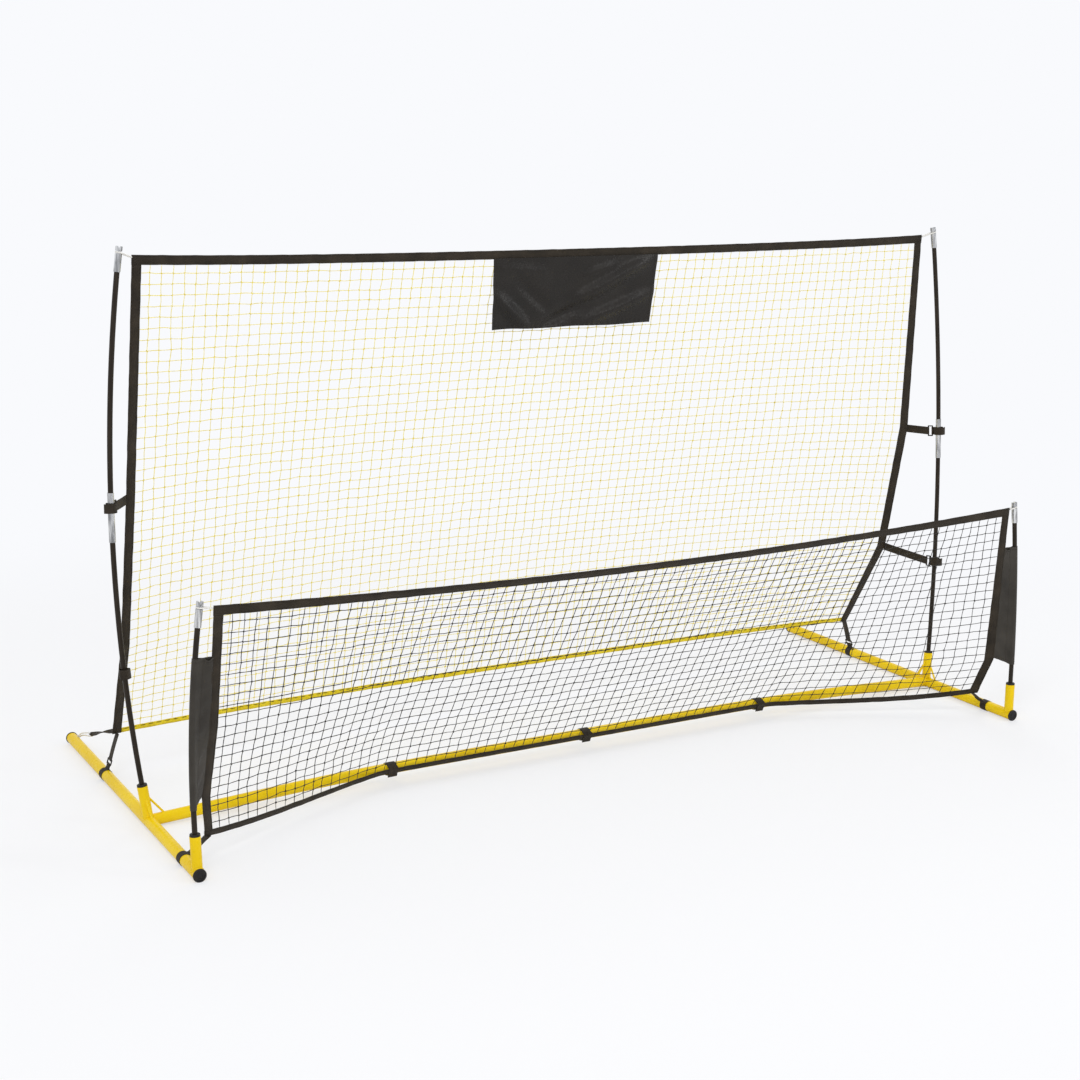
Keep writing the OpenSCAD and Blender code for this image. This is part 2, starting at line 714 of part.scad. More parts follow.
module low_net_top_band() {
    color(black) patch(low, [-1, 1], [0, low_band_v], 20, 1, band_t);
}

module low_net_side_band(side) {
    color(black) on_side(side)
    patch(low, [1 - band_u, 1], [low_band_v + low_gap_v, 1 - foot_band_v - low_gap_v], 1, 16,
          band_t);
}

module low_net_bottom_band() {
    color(black) patch(low, [-1, 1], [1 - foot_band_v, 1], 80, 1, band_t);
}

// Sleeve: a loop of cloth round the front pole, with a panel to the low net's side band
module pole_sleeve(side) {
    sides = 12;
    steps = 8;
    inner = pole_r + loose;
    outer = inner + sleeve_skin;
    start = asin(sleeve_skin / 2 / outer);
    turns = [for (i = [0 : sides - 1]) lerp(start, 360 - start, i / (sides - 1))];
    count = 2 * sides + 2;
    points = [for (k = [0 : steps])
        let (s = lerp(sleeve_top, sleeve_bottom, k / steps), p = arc_point(front_arc, s),
             up = arc_dir(front_arc, s),
             edge = at_height(low_edge, p.z + sleeve_slant * k / steps),
             x = unit(across(edge - p, up)), y = cross(up, x), end = edge - sewn * unit(edge - p))
        each concat([for (a = turns) p + outer * (cos(a) * x + sin(a) * y)],
                    [end - sleeve_skin / 2 * y, end + sleeve_skin / 2 * y],
                    [for (a = turns) p + inner * (cos(a) * x + sin(a) * y)])];
    function out(k, i) = k * count + i % (sides + 2);
    function in(k, i) = k * count + sides + 2 + i % sides;
    color(black) on_side(side) polyhedron(points, joined([
        for (k = [0 : steps - 1]) joined([
            for (i = [0 : sides + 1])
                quad(out(k, i), out(k, i + 1), out(k + 1, i + 1), out(k + 1, i)),
            for (i = [0 : sides - 1])
                quad(in(k, i), in(k + 1, i), in(k + 1, i + 1), in(k, i + 1))]),
        for (i = [0 : sides - 1]) let (next = (i + 1) % sides) joined([
            quad(out(0, i), in(0, i), in(0, next), out(0, next)),
            quad(out(steps, i), out(steps, next), in(steps, next), in(steps, i))]),
        quad(out(0, 0), out(0, sides + 1), out(0, sides), out(0, sides - 1)),
        quad(out(steps, 0), out(steps, sides - 1), out(steps, sides), out(steps, sides + 1)),
    ]));
}

// ---- Straps ----

// Each strap: [loop's frame, loop's radius and thickness, first bar, tab's frame, tab's end]
function strap(at, axis, r, thickness, reach, target) =
    let (x = unit(across(target - at, axis)), second = at + (r + reach + ring_w) * x,
         tab = target - second)
    [upright(at, x, axis), r, thickness, r + reach, upright(second, tab, axis),
     [norm(across(tab, axis)) - sewn, tab * axis]];
function pole_strap(s, r, target) =
    strap(arc_point(rear_arc, s), arc_dir(rear_arc, s), r + loose, strap_t, 8, target);
function rail_strap(y, target) =
    strap([rail_x, y, rail_z], [0, 1, 0], tube_r + 0.1, rail_loop_t, 12,
          [target.x, y, target.z]);
pole_strap_list = [
    pole_strap(high_strap, splice_r, tall_edge[1]),
    pole_strap(low_strap, pole_r, tall_edge[2]),
];
corner_strap_list = [
    rail_strap(bar_y + tail_back, tall_edge[3] - [band_w / 2, 0, 1]),
    rail_strap(front_y + corner_setback, low_edge[3] - [band_w / 2, 0, 1]),
];

module strap_loop(strap) {
    multmatrix(strap[0]) translate([0, 0, -strap_w / 2]) linear_extrude(strap_w) difference() {
        union() {
            circle(r = strap[1] + strap[2]);
            translate([0, -strap_t / 2]) square([strap[3], strap_t]);
            translate([strap[3], 0]) circle(r = eye_r + strap_t);
        }
        circle(r = strap[1]);
        translate([strap[3], 0]) circle(r = eye_r);
    }
}

// Wire ring: two bars joined across, with round corners
module strap_ring(strap) {
    multmatrix(strap[0]) translate([strap[3], 0, 0]) {
        for (x = [0, ring_w]) translate([x, 0, -ring_h / 2])
            cylinder(h = ring_h, r = ring_wire / 2);
        for (z = [-1, 1]) translate([0, 0, z * ring_h / 2]) {
            rotate([0, 90, 0]) cylinder(h = ring_w, r = ring_wire / 2);
            for (x = [0, ring_w]) translate([x, 0, 0]) sphere(r = ring_wire / 2, $fn = 32);
        }
    }
}

// Tab: an eye round the ring's second bar, and a strip that slants to a blunt point at the net
module strap_tab(strap) {
    reach = strap[5][0];
    rise = strap[5][1];
    half = strap_w / 2;
    multmatrix(strap[4]) difference() {
        union() {
            translate([0, 0, -half]) cylinder(h = strap_w, r = eye_r + strap_t);
            translate([0, strap_t / 2, 0]) rotate([90, 0, 0]) linear_extrude(strap_t)
            polygon([[0, -half], [reach - tab_point, rise - half], [reach, rise],
                     [reach - tab_point, rise + half], [0, half]]);
        }
        translate([0, 0, -strap_w]) cylinder(h = 2 * strap_w, r = eye_r);
    }
}

module pole_straps() {
    color(black) for (side = [-1, 1]) on_side(side)
        for (strap = pole_strap_list) strap_loop(strap);
}

module corner_straps() {
    color(black) for (side = [-1, 1]) on_side(side)
        for (strap = corner_strap_list) strap_loop(strap);
}

module strap_rings() {
    color(black) for (side = [-1, 1]) on_side(side)
        for (strap = concat(pole_strap_list, corner_strap_list)) strap_ring(strap);
}

module strap_tabs() {
    color(black) for (side = [-1, 1]) on_side(side)
        for (strap = concat(pole_strap_list, corner_strap_list)) strap_tab(strap);
}

// Strap round the crossbar's back and the low net's bottom band
module crossbar_straps() {
    inner = tube_r + loose;
    face = bar_band_gap + band_t / 2 + loose;
    low_end = -1.5;
    high_end = foot_band_w + strap_over;
    function wrap(h, t) = acos((inner + t) / norm([face + t, h]));
    function outline(t) =
        let (top = [face + t, high_end + t], foot = [face + t, low_end - t],
             from = atan2(top.y, top.x) + wrap(top.y, t),
             to = 360 + atan2(foot.y, foot.x) - wrap(foot.y, t))
        concat([foot, top],
               [for (k = [0 : 20]) let (a = lerp(from, to, k / 20))
                (inner + t) * [cos(a), sin(a)]]);
    color(black) for (x = [-strap_at, 0, strap_at])
        multmatrix(upright([x, bar_y, bar_z(x)], bar_band_dir, [-1, 0, tan(bar_slope(x))]))
        translate([0, 0, -strap_w / 2 - 1]) linear_extrude(strap_w + 2) difference() {
            polygon(outline(strap_t));
            polygon(outline(0));
        }
}

module net_tails() {
    color(black) for (side = [-1, 1]) on_side(side)
        multmatrix(aimed(tail_start, tail_end - tail_start, [1, 0, 0]))
        translate([0, -strap_t / 2, -strap_w / 4])
        cube([norm(tail_end - tail_start), strap_t, strap_w / 2]);
}

// ---- Elastic ----

// Out from a net's corner, round a tip's neck and back
function tip_loop(corner, arc) =
    let (up = tip_dir(arc), post = tip_foot(arc) + (ferrule_length + tip_neck / 2) * up,
         out = unit(across(post - corner, up)), aside = cross(up, out),
         r = tip_neck_r + elastic_d / 2 + slide, spread = (elastic_d / 2 + slide) * aside)
    concat([corner + spread],
           [for (k = [0 : 8]) let (a = 180 * k / 8) post + r * (cos(a) * aside + sin(a) * out)],
           [corner - spread]);

module tip_elastic_loops() {
    color(white) for (side = [-1, 1]) on_side(side) {
        cord(tip_loop(tall_edge[0] + [1, 0, -band_w / 4], rear_arc), tip_dir(rear_arc));
        cord(tip_loop(low_edge[0] + [1, 0, -band_w / 4], front_arc), tip_dir(front_arc));
    }
}

// Out of the rail's hole, over to the tail's end and back
module rear_elastic_loops() {
    r = elastic_d / 2 + slide;
    aside = unit(cross(tail_dir, hole_out));
    bend = tail_end + (r + elastic_d / 2 + sewn) * tail_dir;
    strand = [-(tube_wall + slide) * hole_out, 1.6 * hole_out - 1.5 * tail_dir,
              3 * hole_out - 7 * tail_dir];
    out = [for (p = strand) hole_at + p];
    route = concat([for (p = out) p + r * aside],
                   [for (k = [0 : 6]) let (a = 30 * k)
                    bend + r * (cos(a) * aside - sin(a) * tail_dir)],
                   [for (i = [2 : -1 : 0]) out[i] - r * aside]);
    color(white) for (side = [-1, 1]) on_side(side) {
        cord(route, aside);
        translate(hole_at - (tube_wall + 2 * slide + knot_r) * hole_out) sphere(r = knot_r);
    }
}

rail(-1);  // rail_left
rail(1);  // rail_right
stub(-1);  // crossbar_stub_left
stub(1);  // crossbar_stub_right
crossbar_half(-1);  // crossbar_left
crossbar_half(1);  // crossbar_right
snap_button(-1);  // snap_button_left
snap_button(0);  // snap_button_middle
snap_button(1);  // snap_button_right
button_spring(-1);  // button_spring_left
button_spring(0);  // button_spring_middle
button_spring(1);  // button_spring_right
socket(-1, front_foot, front_dir);  // front_socket_left
socket(1, front_foot, front_dir);  // front_socket_right
socket(-1, rear_foot, rear_dir);  // rear_socket_left
socket(1, rear_foot, rear_dir);  // rear_socket_right
brace_rods(-1);  // brace_rods_left
brace_rods(1);  // brace_rods_right
rail_cap(-1, -1);  // rail_cap_front_left
rail_cap(1, -1);  // rail_cap_front_right
rail_cap(-1, 1);  // rail_cap_rear_left
rail_cap(1, 1);  // rail_cap_rear_right
collar(-1, front_mouth, front_dir);  // front_collar_left
collar(1, front_mouth, front_dir);  // front_collar_right
collar(-1, rear_mouth, rear_dir);  // rear_collar_left
collar(1, rear_mouth, rear_dir);  // rear_collar_right
front_pole(-1);  // front_pole_left
front_pole(1);  // front_pole_right
rear_pole_lower(-1);  // rear_pole_lower_left
rear_pole_lower(1);  // rear_pole_lower_right
rear_pole_upper(-1);  // rear_pole_upper_left
rear_pole_upper(1);  // rear_pole_upper_right
pole_splice(-1);  // pole_splice_left
pole_splice(1);  // pole_splice_right
pole_tip(-1, front_arc);  // front_tip_left
pole_tip(1, front_arc);  // front_tip_right
pole_tip(-1, rear_arc);  // rear_tip_left
pole_tip(1, rear_arc);  // rear_tip_right
tall_net();
tall_net_top_band();
tall_net_side_band(-1);  // tall_net_side_band_left
tall_net_side_band(1);  // tall_net_side_band_right
tall_net_hem();
banner_panel();
low_net();
low_net_top_band();
low_net_side_band(-1);  // low_net_side_band_left
low_net_side_band(1);  // low_net_side_band_right
low_net_bottom_band();
pole_sleeve(-1);  // pole_sleeve_left
pole_sleeve(1);  // pole_sleeve_right
crossbar_straps();
pole_straps();
corner_straps();
strap_tabs();
strap_rings();
net_tails();
tip_elastic_loops();
rear_elastic_loops();
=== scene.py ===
"""Looks of a two-sided football rebounder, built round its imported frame.

Everything is in metres in the frame's own axes: +X to the right, +Y to the back, +Z up.
The camera and the cords come first. Then come the nets, webbing, cloth and straps that stand
for the soft CAD solids, the finishes of the other CAD pieces, the leaf springs and the weld
beads, and last the floor and the light.
"""

import json
import math

import bpy
import numpy as np
from mathutils import Matrix, Vector


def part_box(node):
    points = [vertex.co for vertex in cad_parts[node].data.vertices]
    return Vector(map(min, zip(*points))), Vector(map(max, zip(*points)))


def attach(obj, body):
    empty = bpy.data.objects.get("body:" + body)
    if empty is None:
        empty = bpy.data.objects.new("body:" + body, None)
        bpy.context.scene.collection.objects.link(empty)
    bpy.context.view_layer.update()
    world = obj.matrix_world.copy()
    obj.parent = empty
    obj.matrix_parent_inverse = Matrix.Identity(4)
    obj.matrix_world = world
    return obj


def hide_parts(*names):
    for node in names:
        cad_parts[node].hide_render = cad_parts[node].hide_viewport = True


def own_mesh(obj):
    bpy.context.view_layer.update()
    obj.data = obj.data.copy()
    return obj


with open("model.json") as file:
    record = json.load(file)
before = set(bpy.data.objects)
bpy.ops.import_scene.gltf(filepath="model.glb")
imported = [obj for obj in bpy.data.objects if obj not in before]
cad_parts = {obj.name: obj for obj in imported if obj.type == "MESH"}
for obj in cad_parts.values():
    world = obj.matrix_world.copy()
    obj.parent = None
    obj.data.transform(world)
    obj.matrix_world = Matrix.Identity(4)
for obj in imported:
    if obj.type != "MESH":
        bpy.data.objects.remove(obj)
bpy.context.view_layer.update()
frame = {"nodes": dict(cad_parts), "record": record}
scene = bpy.context.scene
scene.view_settings.view_transform = "Standard"
chance = np.random.default_rng(11)
SIDES = ((-1, "left"), (1, "right"))


def add_object(name, data):
    made = bpy.data.objects.new(name, data)
    scene.collection.objects.link(made)
    return made



# ---- Camera ----

LENS = 60.31
CAMERA_AT = Vector((-2.089, -3.604, 1.431))
YAW, PITCH, ROLL = (math.radians(a) for a in (29.53, 12.92, 0.64))


def make_camera():
    ahead = Vector((math.sin(YAW) * math.cos(PITCH), math.cos(YAW) * math.cos(PITCH), -math.sin(PITCH)))
    right = Vector((math.cos(YAW), -math.sin(YAW), 0))
    up = right.cross(ahead)
    right, up = (right * math.cos(ROLL) + up * math.sin(ROLL),
                 up * math.cos(ROLL) - right * math.sin(ROLL))
    camera = add_object("camera", bpy.data.cameras.new("camera"))
    camera.data.lens = LENS
    camera.matrix_world = Matrix.Translation(CAMERA_AT) @ Matrix((right, up, -ahead)).transposed().to_4x4()
    scene.camera = camera


make_camera()

# ---- Sizes, as the frame has them ----


def middle(node):
    low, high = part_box(node)
    return (low + high) / 2


RAIL_X, RAIL_Z = middle("rail_right").x, middle("rail_right").z
BAR_Y = middle("crossbar_right").y
FRONT_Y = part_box("rail_cap_front_right")[0].y
REAR_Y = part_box("rail_cap_rear_right")[1].y
TUBE_R = 0.0125
TUBE_WALL = 0.0015
SOCKET_LENGTH = 0.076
POLE_R = 0.0055
SPLICE_R = 0.00675
FERRULE_LENGTH = 0.036
TIP_NECK = 0.0048
TIP_LENGTH = FERRULE_LENGTH + TIP_NECK + 0.010
BAND_W, BAND_T = 0.020, 0.0024
FOOT_BAND_W = 0.015
HEM_W = 0.014
STRAP_W, STRAP_T = 0.020, 0.0015
RING_W = 0.0105
EYE_R = 0.0017
ELASTIC_D = 0.0032
SLIDE, LOOSE, SEWN = 0.0002, 0.0004, 0.0003


def unit(v):
    v = np.asarray(v, float)
    return v / np.linalg.norm(v, axis=-1, keepdims=True)


def across(v, axis):
    return v - axis * np.dot(v, axis)


def lerp(a, b, t):
    return a + (b - a) * t


def upright(at, toward, up):
    """Frame [x y z | at], with z along up exactly and x as near to toward as it can be."""
    z = unit(up)
    x = unit(across(toward, z))
    return np.stack([x, np.cross(z, x), z, at], axis=1)


def placed(frame_matrix, points):
    """Points of a frame, in metres, as points of the object."""
    return points @ frame_matrix[:, :3].T + frame_matrix[:, 3]


class Arc:
    """Arc that leaves start along way and ends at end, as each pole bends."""

    def __init__(self, start, way, end):
        chord = end - start
        self.inward = unit(across(chord, way))
        self.radius = chord @ chord / (2 * chord @ self.inward)
        self.centre = start + self.radius * self.inward
        self.way_out = way
        self.length = 2 * self.radius * math.asin(np.linalg.norm(chord) / (2 * self.radius))

    def at(self, s):
        a = s / self.radius
        return self.centre + self.radius * (self.way_out * math.sin(a) - self.inward * math.cos(a))

    def way(self, s):
        a = s / self.radius
        return self.inward * math.sin(a) + self.way_out * math.cos(a)


def lean(degrees):
    return math.tan(math.radians(degrees))


FRONT_FOOT = np.array([RAIL_X, FRONT_Y + 0.016, RAIL_Z])
REAR_FOOT = np.array([RAIL_X, BAR_Y, RAIL_Z])
FRONT_WAY = unit([lean(1.2), 0.03, 1])
REAR_WAY = unit([lean(6.7), lean(5.6), 1])
FRONT_TOP = np.array([RAIL_X - 0.025, FRONT_FOOT[1] + 0.006, 0.553])
REAR_TOP = np.array([RAIL_X - 0.007, BAR_Y + 0.068, 1.190])
FRONT_POLE = Arc(FRONT_FOOT + SOCKET_LENGTH * FRONT_WAY, FRONT_WAY, FRONT_TOP)
REAR_POLE = Arc(REAR_FOOT + SOCKET_LENGTH * REAR_WAY, REAR_WAY, REAR_TOP)
HIGH_STRAP, LOW_STRAP = 0.585, 0.242
CORNER_SETBACK = 0.095
TAIL_BACK = 0.310

# Right-hand edges of the nets, from the top down
TALL_EDGE = np.array([
    REAR_TOP + [-0.027, 0.010, -0.018],
    [RAIL_X - 0.013, BAR_Y + 0.114, REAR_POLE.at(HIGH_STRAP)[2] + 0.001],
    [RAIL_X - 0.009, BAR_Y + 0.182, REAR_POLE.at(LOW_STRAP)[2] + 0.013],
    [RAIL_X - 0.019, BAR_Y + TAIL_BACK + 0.004, RAIL_Z + 0.090],
])
TALL_TOP = np.array([0, TALL_EDGE[0, 1] + 0.006, TALL_EDGE[0, 2] - 0.012])
TALL_HEM = np.array([0, TALL_EDGE[3, 1] + 0.022, TALL_EDGE[3, 2] + 0.006])
TALL_SAG = 0.012
LOW_TOP = FRONT_TOP + [-0.023, -0.009, -0.009]
LOW_KINK = np.array([RAIL_X - 0.026, FRONT_Y + 0.053, RAIL_Z + 0.136])
LOW_EDGE = np.array([
    LOW_TOP,
    lerp(LOW_KINK, LOW_TOP, 0.38) + [-0.004, -0.005, 0],
    LOW_KINK,
    [RAIL_X - 0.041, FRONT_Y + CORNER_SETBACK - 0.008, RAIL_Z + 0.041],
])
LOW_SAG = 0.026

# Crossbar: straight in the middle and at both ends, and bent on one arc between
BAR_ARCH, BAR_FLAT, BAR_END = 0.022, 0.400, 0.250
BEND_TO = RAIL_X - BAR_END
HALF_TAN = BAR_ARCH / (BEND_TO - BAR_FLAT + 2 * BAR_END)
END_SLOPE = 2 * math.atan(HALF_TAN)
BEND_RADIUS = (BEND_TO - BAR_FLAT) / math.sin(END_SLOPE)
BAR_TOP = RAIL_Z + (BEND_TO - BAR_FLAT) * HALF_TAN + BAR_END * math.tan(END_SLOPE)
STRAP_AT = 0.500
BAR_BAND_GAP = TUBE_R + BAND_T / 2 + 0.0009
BAR_BAND_WAY = np.array([0, -0.86, -0.51])


def bar_slope(x):
    bent = np.arcsin(np.clip((np.abs(x) - BAR_FLAT) / BEND_RADIUS, 0, math.sin(END_SLOPE)))
    return np.sign(x) * bent


def bar_z(x):
    bent = BAR_TOP - BEND_RADIUS * (1 - np.cos(bar_slope(x)))
    return np.where(np.abs(x) < BEND_TO, bent, RAIL_Z + (RAIL_X - np.abs(x)) * math.tan(END_SLOPE))


# ---- Shapes of the nets ----


def lengths(line):
    """Length of a line of points from its start to each of them."""
    steps = np.linalg.norm(np.diff(line, axis=0), axis=-1)
    return np.concatenate([[0], np.cumsum(steps)])


def sampled(line, s, at):
    """Points of a line at some lengths, where s is the length at each of its own points."""
    return np.stack([np.interp(at, s, line[:, k]) for k in range(3)], -1)


def along(line, share):
    """Points on a line of points, by share of its length."""
    s = lengths(line)
    return sampled(line, s, np.asarray(share) * s[-1])


def at_height(line, z):
    """Point of a falling line of points at a height."""
    return sampled(line, -line[:, 2], -z)


TALL_LENGTH, LOW_LENGTH = lengths(TALL_EDGE)[-1], lengths(LOW_EDGE)[-1]
BAND_U = BAND_W / LOW_EDGE[0, 0]
TALL_BAND_V, LOW_BAND_V = BAND_W / TALL_LENGTH, BAND_W / LOW_LENGTH
HEM_V, FOOT_BAND_V = HEM_W / TALL_LENGTH, FOOT_BAND_W / LOW_LENGTH


def pull(u, k):
    """How much of a side's pull reaches u: 0 in the middle of a net, 1 at its sides."""
    return (np.cosh(k * u) - 1) / (math.cosh(k) - 1)


def tall(u, v):
    """Tall net: u from -1 at the left edge to 1, v from 0 at the top edge to 1."""
    u, v = np.broadcast_arrays(np.asarray(u, float), np.asarray(v, float))
    side, w = along(TALL_EDGE, v), pull(u, 2.95)
    sag = TALL_SAG * np.sin(math.pi * v)
    mid_y = lerp(TALL_TOP[1], TALL_HEM[1], v) + sag
    mid_z = lerp(TALL_TOP[2], TALL_HEM[2], v) - sag / 4
    return np.stack([side[..., 0] * u, lerp(mid_y, side[..., 1], w), lerp(mid_z, side[..., 2], w)], -1)


def low_bottom(u):
    """Low net's bottom edge: along the crossbar, then forward to its corners."""
    corner = LOW_EDGE[3]
    leaves = STRAP_AT + STRAP_W
    x = corner[0] * u
    f = np.clip((np.abs(x) - leaves) / (corner[0] - leaves), 0, 1)
    y = lerp(BAR_Y + BAR_BAND_GAP * BAR_BAND_WAY[1], corner[1], f ** 1.25)
    z = lerp(bar_z(x) + BAR_BAND_GAP * BAR_BAND_WAY[2], corner[2], f * f)
    return np.stack([x, y, z], -1)


def even_share(v, k):
    """Share of the way down that keeps the bands one width where the net is longer."""
    inner = 1 - LOW_BAND_V - FOOT_BAND_V
    between = lerp(LOW_BAND_V * k, 1 - FOOT_BAND_V * k, (v - LOW_BAND_V) / inner)
    return np.where(v < LOW_BAND_V, v * k, np.where(v > 1 - FOOT_BAND_V, 1 - (1 - v) * k, between))


def low(u, v):
    """Low net: u and v as in the tall net."""
    u, v = np.broadcast_arrays(np.asarray(u, float), np.asarray(v, float))
    side, chord = along(LOW_EDGE, v), lerp(LOW_EDGE[0], LOW_EDGE[3], v[..., None])
    bottom = low_bottom(u)
    top = np.stack([bottom[..., 0], np.full(u.shape, LOW_EDGE[0, 1]),
                    LOW_EDGE[0, 2] - LOW_SAG * (1 - u * u)], -1)
    k = LOW_LENGTH / np.linalg.norm(bottom - top, axis=-1)
    straight = lerp(top, bottom, even_share(v, k)[..., None])
    w = pull(u, 6.2)
    return np.stack([side[..., 0] * u, straight[..., 1] + (side[..., 1] - chord[..., 1]) * w,
                     straight[..., 2] + (side[..., 2] - chord[..., 2]) * w], -1)


def front_normal(shape, u, v):
    e = 0.002
    du = shape(np.minimum(u + e, 1), v) - shape(np.maximum(u - e, -1), v)
    dv = shape(u, np.minimum(v + e, 1)) - shape(u, np.maximum(v - e, 0))
    return unit(np.cross(dv, du))


def lifted(shape, u, v, h):
    u, v, h = np.broadcast_arrays(np.asarray(u, float), np.asarray(v, float), np.asarray(h, float))
    return shape(u, v) + h[..., None] * front_normal(shape, u, v)


BANNER_W, BANNER_H, BANNER_SHIFT = 0.430, 0.158, 0.016
BANNER_CLOTH = 0.0008
BANNER_BACK, BANNER_TAPER = 0.022, 0.03
# Folds of the banner: from and to as shares of its width and height, spread, height
BANNER_FOLDS = (
    ((1.02, -0.05), (0.44, 0.72), 0.052, 0.0140),
    ((0.80, 0.02), (0.52, 0.34), 0.036, 0.0055),
    ((0.99, 0.55), (0.50, 1.00), 0.044, 0.0105),
    ((0.58, 0.66), (0.24, 1.04), 0.042, -0.0090),
    ((0.00, 0.50), (0.24, 1.05), 0.048, 0.0100),
    ((0.02, 0.10), (0.36, 0.26), 0.060, 0.0045),
    ((0.14, 0.30), (0.40, 0.86), 0.046, -0.0055),
)
BANNER_LAP, BANNER_FRONT = 0.002, 0.0020
SWELL_HIGH, SWELLS, FOOT_DIP = 0.0025, 1.6, 0.0012
PUCKER_PITCH, PUCKER_HIGH, PUCKER_REACH = 0.0135, 0.0009, 0.16


def banner(u, v):
    """Banner: hangs from the top band, further back and narrower below, in soft folds."""
    u, v = np.broadcast_arrays(np.asarray(u, float), np.asarray(v, float))
    half = BANNER_W / 2
    top = lifted(tall, (BANNER_SHIFT + u * half) / TALL_EDGE[0, 0], TALL_BAND_V - BANNER_LAP / TALL_LENGTH,
                 BANNER_FRONT)
    fold = SWELL_HIGH * v * (1 - np.cos(2 * math.pi * SWELLS * u + math.radians(60) * v)) / 2
    s = (u + 1) / 2
    for (s0, t0), (s1, t1), spread, height in BANNER_FOLDS:
        way = np.array([(s1 - s0) * BANNER_W, (t1 - t0) * BANNER_H])
        off = np.stack([(s - s0) * BANNER_W, (v - t0) * BANNER_H], -1)
        run = np.clip(off @ way / (way @ way), 0, 1)
        away = np.linalg.norm(off - run[..., None] * way, axis=-1)
        fade = np.sin(math.pi * np.clip(run * 0.9 + 0.08, 0, 1)) * np.clip(v * 6, 0, 1)
        fold = fold + height * fade * np.exp(-(away / (spread * BANNER_H * 2)) ** 2)
    pucker = np.sin(2 * math.pi * u * half / PUCKER_PITCH + 2 * np.sin(9 * u))
    fold = fold + PUCKER_HIGH * pucker * np.clip(1 - (1 - v) / PUCKER_REACH, 0, 1) ** 2
    drop = -(BANNER_H + BANNER_LAP) * v + FOOT_DIP * v * np.sin(7.3 * u + 1.1)
    shift = np.stack([-half * BANNER_TAPER * u * v, BANNER_BACK * v - fold, drop], -1)
    return top + shift


# ---- Meshes ----


def grid_spots(run, girth):
    """Places of a grid of points: the lengths along it and across it."""
    return np.stack(np.broadcast_arrays(run[:, None], girth), -1)


class Build:
    """Gathers the faces of one mesh, with a place in metres on every face corner."""

    def __init__(self):
        self.points, self.faces, self.places, self.count = [], [], [], 0

    def add(self, points, faces, places):
        self.points.append(points)
        for face, place in zip(faces, places):
            self.faces.append(face + self.count)
            self.places.append(place)
        self.count += len(points)

    def loft(self, rows, places, caps=True):
        """Skin over closed rings of an even number of points: rows (n, m, 3), places (n, m + 1, 2)."""
        n, m = rows.shape[:2]
        ids = np.arange(n * m).reshape(n, m)
        ids = np.concatenate([ids, ids[:, :1]], axis=1)

        def quads(a):
            corners = [a[:-1, :-1], a[:-1, 1:], a[1:, 1:], a[1:, :-1]]
            return np.stack(corners, 2).reshape((n - 1) * m, 4, *a.shape[2:])

        faces, spots = [quads(ids)], [quads(places)]
        if caps:
            j = np.arange(m // 2 - 1)
            first = np.stack([j + 1, j, m - 1 - j, m - 2 - j], 1)
            last = np.stack([j, j + 1, m - 2 - j, m - 1 - j], 1)
            faces += [ids[0][first], ids[-1][last]]
            spots += [places[0][first], places[-1][last]]
        self.add(rows.reshape(-1, 3), *self.outward(rows.reshape(-1, 3), faces, spots))

    @staticmethod
    def outward(points, faces, spots):
        volume = 0
        for face in faces:
            p = points[face]
            for k in range(1, face.shape[1] - 1):
                volume += (p[:, 0] * np.cross(p[:, k], p[:, k + 1])).sum()
        if volume < 0:
            faces, spots = [f[:, ::-1] for f in faces], [s[:, ::-1] for s in spots]
        return faces, spots

    def cloth(self, grid, thickness, places):
        """Sheet on a grid of points (n, m, 3), with the thickness to both sides."""
        normal = unit(np.cross(np.gradient(grid, axis=1), np.gradient(grid, axis=0)))
        half = normal * np.asarray(thickness)[..., None] / 2
        rows = np.concatenate([grid + half, (grid - half)[:, ::-1]], axis=1)
        spots = np.concatenate([places, places[:, ::-1], places[:, :1]], axis=1)
        self.loft(rows, spots)

    def tube(self, path, radius, sides=10, up=(0, 0, 1)):
        """Round tube along a path; its radius may change on the way."""
        path = np.asarray(path, float)
        ways = unit(np.gradient(path, axis=0))
        x = np.asarray(up, float)
        turn = 2 * math.pi * np.arange(sides + 1) / sides
        radii = np.broadcast_to(radius, len(path))
        rows = []
        for point, way, r in zip(path, ways, radii):
            x = unit(across(x, way))
            y = np.cross(way, x)
            rows.append(point + r * (np.cos(turn[:-1, None]) * x + np.sin(turn[:-1, None]) * y))
        self.loft(np.array(rows), grid_spots(lengths(path), turn * radii.max()))

    def stamp(self, other, frames):
        """Copies of another build's faces at frames (n, 3, 4)."""
        points = np.concatenate(other.points)
        moved = np.einsum("nij,pj->npi", frames[:, :, :3], points) + frames[:, None, :, 3]
        first = np.arange(len(frames))[:, None, None] * len(points)
        faces = [(f[None] + first).reshape(-1, f.shape[1]) for f in other.faces]
        places = [np.broadcast_to(s, (len(frames), *s.shape)).reshape(-1, *s.shape[1:])
                  for s in other.places]
        self.add(moved.reshape(-1, 3), faces, places)

    def mirror(self):
        """Adds the left-hand copy of everything so far."""
        points = np.concatenate(self.points) * [-1, 1, 1]
        faces = [f[:, ::-1] for f in self.faces]
        places = [s[:, ::-1] for s in self.places]
        self.add(points, faces, places)

    def make(self, name, finish, *nodes):
        """The gathered mesh as a piece on the frame body, which stands for those nodes."""
        mesh = bpy.data.meshes.new(name)
        faces = [corners for part in self.faces for corners in part.tolist()]
        mesh.from_pydata(np.concatenate(self.points).tolist(), [], faces)
        spots = np.concatenate([part.reshape(-1) for part in self.places])
        mesh.uv_layers.new(name="metres").data.foreach_set("uv", spots.astype(np.float32))
        mesh.polygons.foreach_set("use_smooth", np.ones(len(faces), bool))
        mesh.materials.append(finish.material)
        piece = add_object(name, mesh)
        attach(piece, "frame")
        if nodes:
            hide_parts(*nodes)
        return piece


